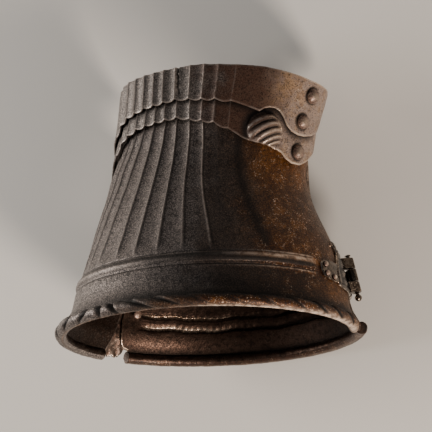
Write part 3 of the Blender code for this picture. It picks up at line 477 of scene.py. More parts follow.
def coated(tree, ground, coats):
    """A ground colour under coats, each given as the factors of its share, then its colour."""
    for share, *factors, colour in coats:
        for factor in factors:
            share = add(tree, MATH, (share, factor), operation="MULTIPLY")
        ground = add(tree, "ShaderNodeMix", {0: share, 6: ground, 7: colour}, out=2,
                     data_type="RGBA")
    return ground


def browned_steel(name, outer, middle, flank, fleck, inner, bright, edge, roughness,
                  grain_mm=0.6, metallic=0.5, dark_from=2.0, brown_from=28.0, stain=0.6):
    """Hammered steel under an old brown patina.

    Grey-brown where it was kept oiled, near black over the middle of the back, partly as painted
    shade, and mottled brown with golden flecks on the little-finger flank; reddish inside. It is
    freckled all over by fine pitting. Ridges and edges are rubbed bright, partly as painted
    highlight, and painted shade, with some dirt, lies beside them.
    """
    outer, middle, flank, fleck, inner, bright, edge, soot_and_shade, dark_grain = map(
        linear, (outer, middle, flank, fleck, inner, bright, edge, SOOT_AND_SHADE_HEX, DARK_GRAIN_HEX))
    material = bpy.data.materials.new(name)
    material.use_nodes = True
    tree = material.node_tree
    shader = tree.nodes["Principled BSDF"]
    where = add(tree, "ShaderNodeTexCoord", out="Object")
    spot = add(tree, VECTORS, {0: where, "Scale": 1000.0}, operation="SCALE")
    patches, blotches, mottle, grain, specks = (
        add(tree, "ShaderNodeTexNoise",
            {"Vector": spot, "Scale": 1.0 / size_mm, "Detail": detail, "Roughness": 0.6})
        for size_mm, detail in (PATCHES, BLOTCHES, MOTTLE, (grain_mm, 2.0), SPECKS))
    around, golden, inside, grime, ridge, edge_mm = (
        add(tree, "ShaderNodeAttribute", out="Fac", attribute_name=label)
        for label in ("around", "golden", "inside", "grime", "ridge", "edge_mm"))
    shifted = add(tree, MATH, (patches, PATCH_REACH, around), operation="MULTIPLY_ADD")
    veined = add(tree, MATH, (mottle, 0.9, blotches), operation="MULTIPLY_ADD")
    # Shares: what each follows, from, to, and its values there where they aren't 0 and 1
    (browned, darkened, veins, gilded, lined, stained, light, dark, speckled, clustered,
     broken, metal, rough) = (
        add(tree, "ShaderNodeMapRange", row, interpolation_type="SMOOTHSTEP") for row in (
            (shifted, brown_from + 22.0, brown_from + 56.0),
            (shifted, dark_from + 22.0, dark_from + 42.0), (veined, 0.92, 1.14),
            (veined, 0.78, 1.02, 0.25, 0.9), (inside, 0.55, 0.9),
            (mottle, 0.48, 0.64, 0.0, stain), (grain, 0.50, 0.66, 0.0, 0.66),
            (grain, 0.48, 0.32, 0.0, 0.85), (specks, 0.60, 0.72), (blotches, 0.42, 0.58),
            (mottle, 0.36, 0.60, 0.22, 1.0), (inside, 0.55, 0.9, metallic, 0.9),
            (grain, 0.3, 0.7, roughness + 0.10, roughness - 0.10)))
    fine, keen = (
        add(tree, "ShaderNodeMapRange", (browned, 0.0, 1.0, *ends),
            interpolation_type="SMOOTHSTEP") for ends in ((1.0, 0.55), (0.3, 0.75)))
    on_edge = add(tree, "ShaderNodeMapRange", (edge_mm, 0.5, 0.0, 0.0, keen),
                  interpolation_type="SMOOTHSTEP")
    outside = add(tree, MATH, (lined, -0.85, 1.0), operation="MULTIPLY_ADD")
    # Marks rubbed bright are partly wear and partly painted highlight: crests, lips and borders
    # get the bare colour and a lower roughness
    half_rubbed_and_lit = add(tree, MATH, (ridge, 0.5), operation="MULTIPLY")
    rubbed_and_lit, worn = (add(tree, MATH, (share, broken), operation="MULTIPLY")
                    for share in (half_rubbed_and_lit, on_edge))
    light_grain = coated(tree, bright, ((darkened, dark_grain), (browned, fleck)))
    bare_and_lit = coated(tree, bright, ((browned, edge),))
    # The soot colour is laid on as painted shade, with some dirt, in the lines, grooves, seams
    # and hollows that the meshes mark
    base = coated(tree, outer, (
        (darkened, middle), (browned, flank), (veins, browned, 0.42, fleck),
        (golden, gilded, fleck), (lined, inner), (stained, soot_and_shade),
        (light, fine, outside, light_grain), (dark, soot_and_shade),
        (speckled, clustered, browned, 0.6, outside, edge), (grime, 0.9, soot_and_shade),
        (rubbed_and_lit, bare_and_lit), (worn, bare_and_lit)))
    shine = add(tree, MATH, (rubbed_and_lit, worn), operation="MAXIMUM")
    rough = add(tree, MATH, (shine, -0.28, rough), operation="MULTIPLY_ADD")
    rough = add(tree, MATH, (grime, 0.2, rough), operation="MULTIPLY_ADD")
    pits = add(tree, "ShaderNodeBump", {"Strength": 0.6, "Distance": 0.00016, "Height": grain})
    swell = add(tree, "ShaderNodeBump", {"Strength": 0.5, "Distance": 0.0005, "Height": mottle,
                                         "Normal": pits})
    for key, value in (("Base Color", base), ("Roughness", rough), ("Metallic", metal),
                       ("Normal", swell)):
        tree.links.new(value, shader.inputs[key])
    return material


# Fluted steel, oiled and browned: a matt grey-brown that turns black over the back, partly as
# painted shade, and dark rust with golden flecks on the flank
fluted_steel = browned_steel("oil_browned_fluted_steel", outer="#5f5753", middle="#403630",
                             flank="#2f1505", fleck="#8a561c", inner="#2b1d15",
                             bright="#a89a90", edge="#f0d6c0", roughness=0.5,
                             dark_from=7.0)

# Rows lie close over the rib and its lines; those past the last of them follow the wrist edge
places = column_places(36, 70)
rows_z = np.concatenate([np.linspace(2.6, 18.2, 14), np.linspace(18.6, 27.2, 30),
                         np.linspace(28.0, 66.0, 40)])
wrist_share = np.linspace(0.0, 1.0, 24)[1:]
grid_place = places[:, None]


def cuff_angle(place, z):
    """Angle of a column of the cuff, whose seam slants on the band near the rim."""
    slant = ramp(z, CUFF_SLANT_TOP, CUFF_SLANT_FOOT)
    return flute_angle(place, z, CUFF_START + (CUFF_START_AT_RIM - CUFF_START) * slant, CUFF_END)


wrist_z = straight(CUFF_WRIST_EDGE, cuff_angle(places, 84.0 + 0 * places)) - CUFF_SHEET / 2
rising = rows_z[-1] + (wrist_z[:, None] - rows_z[-1]) * wrist_share
cuff_z = np.concatenate([np.broadcast_to(rows_z, (len(places), len(rows_z))), rising], 1)
around = cuff_angle(grid_place, cuff_z)
rib = straight(CUFF_RIB, cuff_z) * straight(RIB_FADE, around)
fade = ramp(cuff_z, FLUTES_FADE_FROM, FLUTES_FULL_FROM)
outer, out = oval(CUFF_SECTIONS, around, cuff_z, rib)
inner, out = oval(CUFF_SECTIONS, around, cuff_z, rib - CUFF_SHEET)
marks = flute_marks(grid_place + 0 * cuff_z, fade, CUFF_RIDGE_SHADE)
soft = ramp(grid_place, *SOFT_RIDGES)
marks["flute_share"] = marks["flute_share"] * (1 - 0.5 * soft)
marks["ridge"] *= 1 + bump(grid_place - BRIGHTEST_RIDGE, BRIGHT_WIDTH)
# The rib's rubbed line and the borders of its scribed lines are partly painted highlight
rib_bright, rib_z, rib_width = (straight(RIB_RUBBED_AND_LIT, around, column) for column in (1, 2, 3))
rubbed_and_lit = rib_bright * bump(cuff_z - rib_z, rib_width)
borders = sum(bump(cuff_z - z, BORDER_WIDTH) for z in LINE_BORDERS)
marks["ridge"] = np.maximum(marks["ridge"] * (1 - soft), straight(RIB_FADE, around) * (
    rubbed_and_lit + borders * straight(BORDER_RUBBED_AND_LIT, around)))
off_last = (grid_place - FLUTES) * np.where(grid_place > FLUTES, PLAIN_FLANK_FLUTES, 1.0)
last = CUFF_RIDGE_SHADE * bump(off_last, LAST_RIDGE_WIDTH) * fade
above = ramp(cuff_z, *RIB_CREST)
on_rib = straight(RIB_DARK, around) * above + straight(RIB_DARK, around, 2) * (1 - above)
# Painted shade beside and along the ridges, over and under the rib, in its scribed lines and in
# the seam above the rim; the band below the rib is darkened too
marks["grime"] = np.maximum.reduce([
    marks["grime"] * (1 - soft), last, ramp(cuff_z, 18.4, 17.0) * straight(BAND_DARK, around),
    ramp(cuff_z, 9.5, 5.0) * straight(SEAM_DARK, around), ramp(rib, 0.1, 0.5) * on_rib,
    ramp(-rib, 0.03, 0.2) * 0.8])
# Golden where the flank was touched: near the wrist, on the band, and thinly past the last
# ridge; over the upper half of the rib on the little-finger side the gold is partly painted
# highlight
wrist_gold = ramp(cuff_z, 52.0, 88.0) * ramp(around, 38.0, 58.0)
band_gold = 0.8 * ramp(around, 66.0, 84.0) * ramp(cuff_z, 18.5, 14.0) * ramp(cuff_z, 5.0, 9.0)
rib_gold_and_light = ramp(around, 34.0, 50.0) * above * ramp(cuff_z, 26.6, 26.0)
flank_gold = 0.22 * ramp(off_last, 0.1, 0.5) * ramp(cuff_z, 26.6, 29.0)
golden = np.maximum(wrist_gold, band_gold + rib_gold_and_light + flank_gold)
marks.update(outward=out, around=around, golden=golden,
             edge_mm=edge_distance(outer, (False, True, True, True)))
cuff_mesh = run_tree(wall(outer, inner, marks), flute_tree, channel_depth=0.95,
                     ridge_height=RIDGE_HEIGHT, dent_depth=0.5, dent_size=11.0, seed=3.0,
                     sheet_material=fluted_steel)
finish_piece("fluted_cuff_plate", cuff_mesh, "cuff_body", ["cuff_plate"])

# ---- Roped rims --------------------------------------------------------------------------
# The foot edges of both plates are turned outwards over a wire into a hollow bead of about
# 6 mm, then filed with slanting grooves so that the rim looks like a rope. The strands lean
# one way on the thumb half and the other way on the little-finger half, and are worn flat
# in the middle.
BEAD_RADIUS = 3.0
# z of the bead's middle, and how far it lies inside the face of the sheet
BEAD_HEIGHT, BEAD_INSET = 1.0, 0.4
# (angle, strands so far, a groove at each whole one; depth of the grooves; turns of a strand
# once round the bead)
CUFF_STRANDS = (
    (-108.0, 0.0, 1.3, -2.4), (-40.5, 5.0, 1.3, -2.4), (-28.0, 6.0, 1.5, -2.0),
    (-19.3, 7.0, 1.7, -0.7), (-13.3, 8.0, 1.7, 0.3), (-2.0, 9.0, 1.4, 2.2),
    (10.0, 10.0, 1.0, 2.4), (22.0, 11.0, 0.4, 2.2), (62.0, 14.0, 0.6, 1.7),
    (74.0, 15.0, 1.1, 1.7), (84.5, 16.0, 1.2, 1.7), (112.0, 18.3, 1.2, 1.7),
)
PALM_STRANDS = ((115.0, 0.0, 0.8, 1.4), (150.0, 3.1, 0.4, 1.4), (205.0, 8.0, 0.4, 1.4),
                (241.0, 11.2, 0.7, 1.4))
# Share of a strand that its groove takes, under the bead and on top of it; its steep side
# takes that of the next strand, and the other side is hollow by this power
GROOVE_NARROW, GROOVE_WIDE, GROOVE_STEEP, GROOVE_HOLLOW = 0.16, 0.68, 0.10, 1.4
# The rim has turned brown further round to the thumb side than the sheet above it
RIM_BROWNED_EARLY = 30.0
# Where the lip of the turned-over edge lies round the bead, and its half width
LIP_TURN, LIP_WIDTH = radians(-104.0), radians(17.0)
# Turns round the bead between which it is roped: the lip and the side towards the arm are plain
ROPED_FROM, ROPED_FULL, ROPED_TO, ROPED_FADE = radians(-92.0), radians(-45.0), radians(150.0), 0.6
# Turns at which the painted shadow in the seam between the bead and the sheet begins, is full
# and ends
SEAM_FROM, SEAM_FULL, SEAM_TO = 0.2, 1.1, 2.2
# Dents of the hammer in the bead, for each millimetre
RIM_DENTS = 0.35
# How bright the lip is rubbed, partly as painted highlight, and how bright the edges of the
# strands on the thumb half are painted as highlight
LIP_RUBBED_AND_LIT, STRAND_EDGE_HIGHLIGHT = 0.25, 0.35
# Distance in millimetres at which the wear of an edge no longer reaches
NO_EDGE = 9.0
# Towards the little finger the lower side of the bead is rubbed and painted with a highlight,
# about this turn: (angle, how bright, half width in degrees round the bead)
HANDLED_TURN = radians(-86.0)
HANDLED_AND_LIT = ((10.0, 0.0, 16.0), (28.0, 1.7, 20.0), (62.0, 2.3, 24.0), (76.0, 2.1, 40.0),
           (112.0, 1.6, 38.0))
# The lip is browned all along
LIP_BROWNED = 90.0

rope_tree, tin = new_tree("turned_and_roped_rim", (
    ("Bead radius", "Float"), ("Points round", "Int"),
    ("Unevenness", "Float"), ("Seed", "Float"), ("Rim material", "Material")))
curve = add(rope_tree, "GeometryNodeMeshToCurve", {"Mesh": tin["Geometry"]})
spine = add(rope_tree, "GeometryNodeInputPosition")
curve = add(rope_tree, "GeometryNodeStoreNamedAttribute",
            {"Geometry": curve, "Name": "centre", "Value": spine}, data_type="FLOAT_VECTOR")
ring = add(rope_tree, "GeometryNodeCurvePrimitiveCircle",
           {"Resolution": tin["Points round"], "Radius": tin["Bead radius"]})
tube = add(rope_tree, "GeometryNodeCurveToMesh",
           {"Curve": curve, "Profile Curve": ring, "Fill Caps": True})
skin = add(rope_tree, "GeometryNodeInputPosition")
centre, outward = (add(rope_tree, STORED, (label,), data_type="FLOAT_VECTOR")
                   for label in ("centre", "outward"))
strand, strand_depth, strand_turns = (
    add(rope_tree, STORED, (label,), data_type="FLOAT")
    for label in ("strand", "strand_depth", "strand_turns"))
# How far round the bead a point lies, and how far across its strand
away = add(rope_tree, VECTORS, (skin, centre), operation="SUBTRACT")
away = add(rope_tree, VECTORS, (away,), operation="NORMALIZE")
sideways = add(rope_tree, VECTORS, (away, outward), out="Value", operation="DOT_PRODUCT")
height = add(rope_tree, "ShaderNodeSeparateXYZ", (away,), out="Z")
turn = add(rope_tree, MATH, (height, sideways), operation="ARCTAN2")
turns = add(rope_tree, MATH, (turn, tau), operation="DIVIDE")
along = add(rope_tree, MATH, (turns, strand_turns, strand), operation="MULTIPLY_ADD")
across = add(rope_tree, MATH, (along,), operation="FRACT")
# The groove: wide on top of the bead and narrow under it, steep on one side
wide = add(rope_tree, "ShaderNodeMapRange",
           (turn, -1.0, 1.0, 1.0 - GROOVE_NARROW, 1.0 - GROOVE_WIDE))
fall, rise, begun, ended = (
    add(rope_tree, "ShaderNodeMapRange", row) for row in (
        (across, wide, 1.0), (across, GROOVE_STEEP, 0.0), (turn, ROPED_FROM, ROPED_FULL),
        (turn, ROPED_TO, ROPED_TO - ROPED_FADE)))
fall = add(rope_tree, MATH, (fall, GROOVE_HOLLOW), operation="POWER")
cut = add(rope_tree, MATH, (fall, rise), operation="MAXIMUM")
for share in (begun, ended, strand_depth):
    cut = add(rope_tree, MATH, (cut, share), operation="MULTIPLY")
rough = add(rope_tree, "ShaderNodeTexNoise",
            {"Vector": skin, "W": tin["Seed"], "Scale": RIM_DENTS, "Detail": 3.0},
            noise_dimensions="4D")
rough = add(rope_tree, MATH, (rough, 0.5), operation="SUBTRACT")
rough = add(rope_tree, MATH, (rough, tin["Unevenness"]), operation="MULTIPLY")
for label, value in (("turn", turn), ("across", across), ("cut", cut)):
    tube = add(rope_tree, "GeometryNodeStoreNamedAttribute",
               {"Geometry": tube, "Name": label, "Value": value}, data_type="FLOAT")
rough = add(rope_tree, MATH, (rough, cut), operation="SUBTRACT")
step = add(rope_tree, VECTORS, {0: away, "Scale": rough}, operation="SCALE")
tube = add(rope_tree, MOVE, {"Geometry": tube, "Offset": step})
close_tree(rope_tree, tube, tin["Rim material"])


def rim_line(sections, angles, strands):
    """Chain of edges through the middle of the bead, with what the rope tree reads."""
    spine, out = oval(sections, angles, BEAD_HEIGHT + 0 * angles)
    radial = spine * (1, 1, 0)
    radial /= np.linalg.norm(radial, axis=-1, keepdims=True)
    mesh = bpy.data.meshes.new("rim_line")
    mesh.from_pydata((spine - radial * BEAD_INSET).tolist(),
                     [(k, k + 1) for k in range(len(angles) - 1)], [])
    store(mesh, "angle", angles)
    store(mesh, "outward", radial)
    for column, key in enumerate(("strand", "strand_depth", "strand_turns"), 1):
        store(mesh, key, straight(strands, angles, column))
    return mesh


def kept(mesh, name):
    """Values of a vertex attribute that a tree has stored."""
    values = np.zeros(len(mesh.vertices))
    mesh.attributes[name].data.foreach_get("value", values)
    return values


def store_even(mesh, **marks):
    """Marks that are the same all over a mesh."""
    for key, value in marks.items():
        store(mesh, key, np.full(len(mesh.vertices), value))


def mark_rim(mesh, seam):
    """Painted shade in the grooves and the seam above the bead; the lip and the strands' edges
    rubbed bright, partly as painted highlight.
    """
    turn, angle, across, cut = (kept(mesh, key) for key in ("turn", "angle", "across", "cut"))
    off = (turn - LIP_TURN + pi) % tau - pi
    on_lip = bump(off, LIP_WIDTH)
    width = np.radians(straight(HANDLED_AND_LIT, angle, 2))
    handled_and_lit = straight(HANDLED_AND_LIT, angle) * bump(turn - HANDLED_TURN, width)
    handled_and_lit = handled_and_lit * (angle < CUFF_END + 1)
    in_seam = ramp(turn, SEAM_FROM, SEAM_FULL) * (turn < SEAM_TO) * straight(seam, angle)
    # The edge of a strand is the narrow stripe just past its groove; it is painted as highlight
    edge = ramp(across, 0.02, 0.10) * ramp(across, 0.26, 0.12) * ramp(cut, 0.6, 0.2)
    store(mesh, "ridge", np.maximum.reduce([LIP_RUBBED_AND_LIT * on_lip, handled_and_lit * ramp(cut, 0.9, 0.1),
                                            STRAND_EDGE_HIGHLIGHT * edge * ramp(angle, 20.0, 0.0)]))
    store(mesh, "grime", 1.1 * np.maximum(ramp(cut, 0.02, 0.6), in_seam))
    store(mesh, "around", angle + RIM_BROWNED_EARLY + LIP_BROWNED * on_lip)
    store(mesh, "inside", ramp(-off, 2 * LIP_WIDTH, 3 * LIP_WIDTH))
    store_even(mesh, edge_mm=NO_EDGE)


rim_angles = np.linspace(CUFF_START_AT_RIM, CUFF_END, 700)
rim_mesh = run_tree(rim_line(CUFF_SECTIONS, rim_angles, CUFF_STRANDS), rope_tree,
                    bead_radius=BEAD_RADIUS, points_round=28, unevenness=0.5, seed=5.0,
                    rim_material=fluted_steel)
mark_rim(rim_mesh, SEAM_DARK)
finish_piece("roped_rim_of_cuff", rim_mesh, "cuff_body", ["cuff_plate"])

# ---- Inner plate -------------------------------------------------------------------------
# The plate that closes the cuff over the inner wrist. It turns on the hinge at the
# little-finger edge; its middle is beaten flat, and two sharp creases run round above the
# rim. It keeps more of the red-brown rust than the cuff does.
# (z, half widths: little-finger side, thumb side, back of the wrist, inner wrist)
PALM_SECTIONS = (
    (1.0, 74.0, 74.0, 65.0, 62.5), (4.6, 72.2, 72.0, 63.4, 61.4),
    (9.0, 69.4, 69.2, 61.2, 59.8), (19.0, 66.8, 66.6, 58.4, 57.6),
    (30.0, 63.7, 63.2, 55.2, 55.0), (44.0, 58.4, 58.8, 50.0, 49.8),
    (64.0, 49.6, 53.4, 42.6, 42.3), (84.0, 49.0, 48.0, 36.0, 34.75),
)
# Angles of the hinge edge and, at the rim, of its foot, and z from which it slants; angles of
# the thumb-side edge and of the end of the rim there; z of the wrist edge
PALM_START, PALM_START_AT_RIM, PALM_SLANT_TOP = 113.8, 115.4, 12.0
PALM_END, PALM_RIM_END, PALM_WRIST_Z = 246.6, 240.0, 83.0
# Round corner at the thumb-side foot: (angle, z of the foot edge there)
PALM_FOOT_EDGE = ((240.0, 2.6), (240.4, 4.4), (243.0, 5.0), (244.6, 6.4), (245.8, 8.6),
                  (246.6, 12.0))
# (z, how far the sheet stands out): lower crease, upper crease, with a soft step between
CREASES = (
    (12.6, 0.0), (13.6, 0.1), (14.4, 1.2), (15.6, 1.25), (16.6, 0.45), (17.6, 0.25),
    (19.2, 0.3), (20.6, 1.1), (21.1, 1.45), (21.5, 0.9), (21.9, 0.0),
)
# They were set by eye, and waver: (size, rate, start)
CREASE_WAVER = ((0.35, 0.19, 0.0), (0.22, 0.47, 1.0), (0.13, 2.3, 0.0), (0.08, 5.3, 2.0))
# Angles between which the creases change from painted shade to painted highlight; (angle, how
# much of them there is)
CREASES_SHADE_TO_LIGHT = (194.0, 210.0)
CREASE_FADE = ((122.0, 0.0), (131.0, 1.0), (232.0, 1.0), (239.0, 0.0))
# (angle, how dark the painted shadow in the seam above the rim is): even all along
PALM_SEAM_DARK = ((0.0, 0.7), (360.0, 0.7))
# The flat middle lies on the floor: y of the resting plane at z, as worn
REST_EDGE_Y, REST_EDGE_Z = 34.15, 84.0


def waves(rows, along):
    """Unevenness of handwork along a line, from (size, rate, start) rows."""
    return sum(size * np.sin(rate * along + start) for size, rate, start in rows)


def lay_flat(points, depth=0.0):
    """Points held back to the resting plane, as the plate was beaten flat along it."""
    plane = REST_EDGE_Y + (REST_EDGE_Z - points[..., 2]) * np.tan(LEAN) - depth
    points[..., 1] = np.minimum(points[..., 1], plane)
    return points


def press_flat(mesh):
    """The same for the points of a finished mesh."""
    points = np.zeros(len(mesh.vertices) * 3)
    mesh.vertices.foreach_get("co", points)
    mesh.vertices.foreach_set("co", lay_flat(points.reshape(-1, 3)).ravel())


# Steel browned by rust: smoother and redder, with a dull shine over the dark middle
inner_steel = browned_steel("rust_browned_inner_plate", outer="#6f6662", middle="#2f2723",
                            flank="#3f2a20", fleck="#6b4a30", inner="#44332a",
                            bright="#ab9688", edge="#c2ac98", roughness=0.42)
palm_share = np.linspace(0.0, 1.0, 300)[:, None]
rows_z = np.concatenate([np.linspace(2.6, 12.4, 12), np.linspace(12.8, 22.4, 44),
                         np.linspace(23.4, PALM_WRIST_Z - CUFF_SHEET / 2, 56)])
slant = ramp(rows_z, PALM_SLANT_TOP, BEAD_HEIGHT)
start = PALM_START + (PALM_START_AT_RIM - PALM_START) * slant
around = start + (PALM_END - start) * palm_share
foot = straight(PALM_FOOT_EDGE, around[:, -1:])
palm_z = foot + (rows_z - rows_z[0]) * (rows_z[-1] - foot) / (rows_z[-1] - rows_z[0])
stand = straight(CREASES, palm_z + waves(CREASE_WAVER, around)) * straight(CREASE_FADE, around)
outer, out = oval(PALM_SECTIONS, around, palm_z, stand)
inner, out = oval(PALM_SECTIONS, around, palm_z, stand - CUFF_SHEET)
outer, inner = lay_flat(outer), lay_flat(inner, CUFF_SHEET)
crests = ramp(stand, 0.5, 1.1)
# Painted highlight on the creases' crests on one side and painted shade on the other, the bead's
# painted shadow above the rim, and painted shade growing towards the hinge side
marks = {"flute": 0 * palm_z, "flute_share": 0 * palm_z, "outward": out, "around": around,
         "ridge": 1.2 * crests * ramp(around, *CREASES_SHADE_TO_LIGHT),
         "grime": np.maximum.reduce([ramp(palm_z, 7.0, 3.4), 0.5 * ramp(around, 196.0, 150.0),
                                     0.7 * crests * ramp(around, *CREASES_SHADE_TO_LIGHT[::-1])]),
         "edge_mm": edge_distance(outer)}
palm_mesh = run_tree(wall(outer, inner, marks), flute_tree, channel_depth=0.0,
                     ridge_height=0.0, dent_depth=0.5, dent_size=13.0, seed=8.0,
                     sheet_material=inner_steel)
press_flat(palm_mesh)
finish_piece("creased_inner_plate", palm_mesh, "inner_plate_body",
             ["palm_plate"])

rim_angles = np.linspace(PALM_START_AT_RIM, PALM_RIM_END, 420)
rim_mesh = run_tree(rim_line(PALM_SECTIONS, rim_angles, PALM_STRANDS), rope_tree,
                    bead_radius=BEAD_RADIUS, points_round=28, unevenness=0.6, seed=6.0,
                    rim_material=inner_steel)
mark_rim(rim_mesh, PALM_SEAM_DARK)
press_flat(rim_mesh)
finish_piece("roped_rim_of_inner_plate", rim_mesh, "inner_plate_body",
             ["palm_plate"])

# ---- Lower wrist lame --------------------------------------------------------------------
# The first of two narrow plates that slide over each other when the wrist bends. Its flutes
# carry on those of the cuff, and its foot edge is cut in shallow scallops, one to a flute.
# A knob for the wrist bone is embossed on the little-finger side and cut into gadroons.
LAME_SHEET = 1.0
LAME_SCALLOP = 0.9
# Painted shadow lies this far down a sheet from the edge of the lame over it
UNDER_DARK = 4.0
# Painted shade over the last flutes of the lames, which turn away from the light: (angle,
# strength)
BACK_SHADE = ((-26.0, 0.0), (-8.0, 0.38), (20.0, 0.38), (29.0, 0.0))
HEAD_RADIUS, HEAD_HEIGHT = 3.8, 3.3
LOWER_SECTIONS = (
    (72.0, 50.4, 53.4, 41.0, 40.4), (80.0, 50.7, 51.2, 39.2, 39.0),
    (88.0, 52.1, 48.9, 37.7, 37.8), (96.0, 53.5, 46.8, 36.9, 37.2),
    (104.0, 54.4, 45.0, 36.1, 37.0), (114.0, 55.0, 43.3, 33.6, 36.6),
)
# (angle, z of the edge there)
LOWER_FOOT_EDGE = (
    (-107.0, 84.5), (-101.0, 78.0), (-96.0, 75.2), (-90.0, 74.4), (-84.0, 75.2),
    (-78.0, 78.6), (-72.0, 83.0), (-64.0, 86.0), (-55.5, 87.8), (-51.5, 90.6), (-46.5, 93.5),
    (-39.0, 94.9), (-30.0, 96.1), (-14.0, 97.0), (0.6, 97.6), (8.0, 96.0), (14.6, 94.8),
    (21.4, 93.4), (30.0, 89.8), (38.8, 85.1), (48.0, 82.3), (57.0, 80.8), (62.8, 80.2),
    (66.0, 79.2), (69.5, 76.8), (75.2, 75.0), (83.5, 75.3), (92.2, 78.2), (99.2, 81.5),
    (105.4, 84.4), (108.0, 89.0),
)
LOWER_HAND_EDGE = (
    (-107.0, 95.0), (-90.0, 101.5), (-75.0, 104.5), (-55.0, 108.5), (-20.0, 112.6),
    (0.0, 113.4), (20.0, 112.4), (40.0, 108.5), (60.0, 104.5), (75.0, 103.0), (90.0, 101.0),
    (108.0, 95.0),
)
# Where the edge of the upper lame lies on this one
UPPER_FOOT_EDGE = (
    (-107.0, 100.0), (-101.0, 92.0), (-95.0, 88.6), (-89.0, 87.6), (-83.0, 88.6),
    (-77.0, 91.6), (-71.0, 93.8), (-64.0, 95.0), (-56.0, 96.4), (-52.0, 98.4), (-47.8, 101.4),
    (-38.8, 103.2), (-30.0, 103.8), (-21.8, 104.7), (-14.0, 105.0), (0.6, 106.0),
    (8.0, 105.5), (14.6, 104.7), (21.4, 104.3), (30.0, 102.7), (37.6, 100.4), (46.3, 97.7),
    (49.0, 99.2), (52.0, 99.8), (55.5, 99.6), (59.0, 98.2), (62.1, 95.6), (65.4, 92.0),
    (69.5, 89.6), (75.0, 88.5), (81.0, 88.6), (90.0, 90.2), (97.8, 93.2), (101.0, 97.0),
    (103.0, 102.4), (104.0, 106.5),
)
# (angle, z) of the rivets that carry this lame
LOWER_PIVOTS = ((79.2, 81.0), (-90.0, 81.0))
KNOB_ANGLE, KNOB_Z, KNOB_RADIUS, KNOB_HEIGHT, KNOB_ROUNDNESS = 52.0, 88.9, 8.9, 4.8, 0.75
GADROON_SLANT, GADROON_BOW = radians(26.0), 0.022
# Crest lines of the gadroons: distance from the knob's middle, across their slant
GADROON_CRESTS = (-9.2, -7.1, -4.9, -1.7, 1.7, 5.6, 9.6)
GADROON_DEPTH = 1.1
# They fade out between these shares of the knob's radius, and between these places along them
GADROONS_OUT, GADROONS_FOOT, GADROONS_HEAD = (1.12, 0.87), (-8.6, -5.4), (7.6, 5.2)
# Where painted shade lies in the hollow above the knob, and how wide, in radii of the knob
HOLLOW_PLACE, HOLLOW_WIDTH = 1.1, 0.25
# How far the painted shade round a rivet's head spreads, and how dark the painted shade lies
# beside the ridges
HEAD_SHADE_REACH, LAME_RIDGE_SHADE = 0.7, 0.5


def knob(points):
    """Height of the embossed knob at points of a lame, the depth of its gadroons, its own
    height without them, and how deep in the hollow above it a point lies."""
    centre, out = oval(LOWER_SECTIONS, KNOB_ANGLE, KNOB_Z)
    across = np.cross((0, 0, 1), out)
    away = points - centre
    share = np.linalg.norm(away, axis=-1) / KNOB_RADIUS
    rise = KNOB_HEIGHT * np.clip(1 - share ** 2, 0, None) ** KNOB_ROUNDNESS
    right, up = away @ across, away[..., 2]
    along = right * cos(GADROON_SLANT) + up * sin(GADROON_SLANT)
    over = up * cos(GADROON_SLANT) - right * sin(GADROON_SLANT) + GADROON_BOW * along ** 2
    phase = np.interp(over, GADROON_CRESTS, range(len(GADROON_CRESTS)))
    held = (ramp(share, *GADROONS_OUT) * ramp(along, *GADROONS_HEAD)
            * ramp(along, *GADROONS_FOOT))
    groove = (1 - np.abs(np.cos(pi * phase))) * held
    hollow = bump(share - HOLLOW_PLACE, HOLLOW_WIDTH) * ramp(up - right, 0.0, 6.0)
    return rise - GADROON_DEPTH * groove, groove, rise, hollow


def shade_round_heads(points, sections, spots):
    """Painted shade on the sheet in a ring round the heads of the rivets."""
    reach = [np.linalg.norm(points - oval(sections, *spot)[0], axis=-1) for spot in spots]
    return bump(np.minimum.reduce(reach) - HEAD_RADIUS, HEAD_SHADE_REACH)


def lame_grid(sections, foot_edge, hand_edge, places, rows):
    """Angles and heights of a lame's points, columns by rows, its foot edge scalloped."""
    start, end = foot_edge[0][0], foot_edge[-1][0]
    angle = flute_angle(places, None, start, end)
    foot, hand = straight(foot_edge, angle), straight(hand_edge, angle)
    inside = (places > 0) & (places < FLUTES)
    foot = foot - inside * LAME_SCALLOP * (1 - (2 * (places % 1) - 1) ** 2) + LAME_SHEET / 2
    hand = hand - LAME_SHEET / 2
    z = foot[:, None] + (hand - foot)[:, None] * np.linspace(0, 1, rows)
    return angle[:, None] + 0 * z, z


# The lames were handled most: the same browned steel, lighter, smoother and hardly stained
lame_steel = browned_steel("oil_browned_lame_steel", outer="#6b645f", middle="#5c4032",
                           flank="#a39086", fleck="#bd9468", inner="#38271e",
                           bright="#b8aaa0", edge="#e6d0b8", roughness=0.44,
                           dark_from=6.0, brown_from=40.0, stain=0.35)
lame_places = column_places(30, 190)
around, lame_z = lame_grid(LOWER_SECTIONS, LOWER_FOOT_EDGE, LOWER_HAND_EDGE, lame_places, 56)
plain, out = oval(LOWER_SECTIONS, around, lame_z)
stand, groove, rise, hollow = knob(plain)
outer = plain + out * stand[..., None]
inner = plain + out * (rise - LAME_SHEET)[..., None]
marks = flute_marks(lame_places[:, None] + 0 * lame_z, 1.0, LAME_RIDGE_SHADE)
# The gadroons' crests are painted bright as highlight
marks["ridge"] = np.maximum(marks["ridge"], 1.3 * ramp(rise, 0.4, 1.2) * ramp(groove, 0.2, 0.0))
under = straight(UPPER_FOOT_EDGE, around) - lame_z
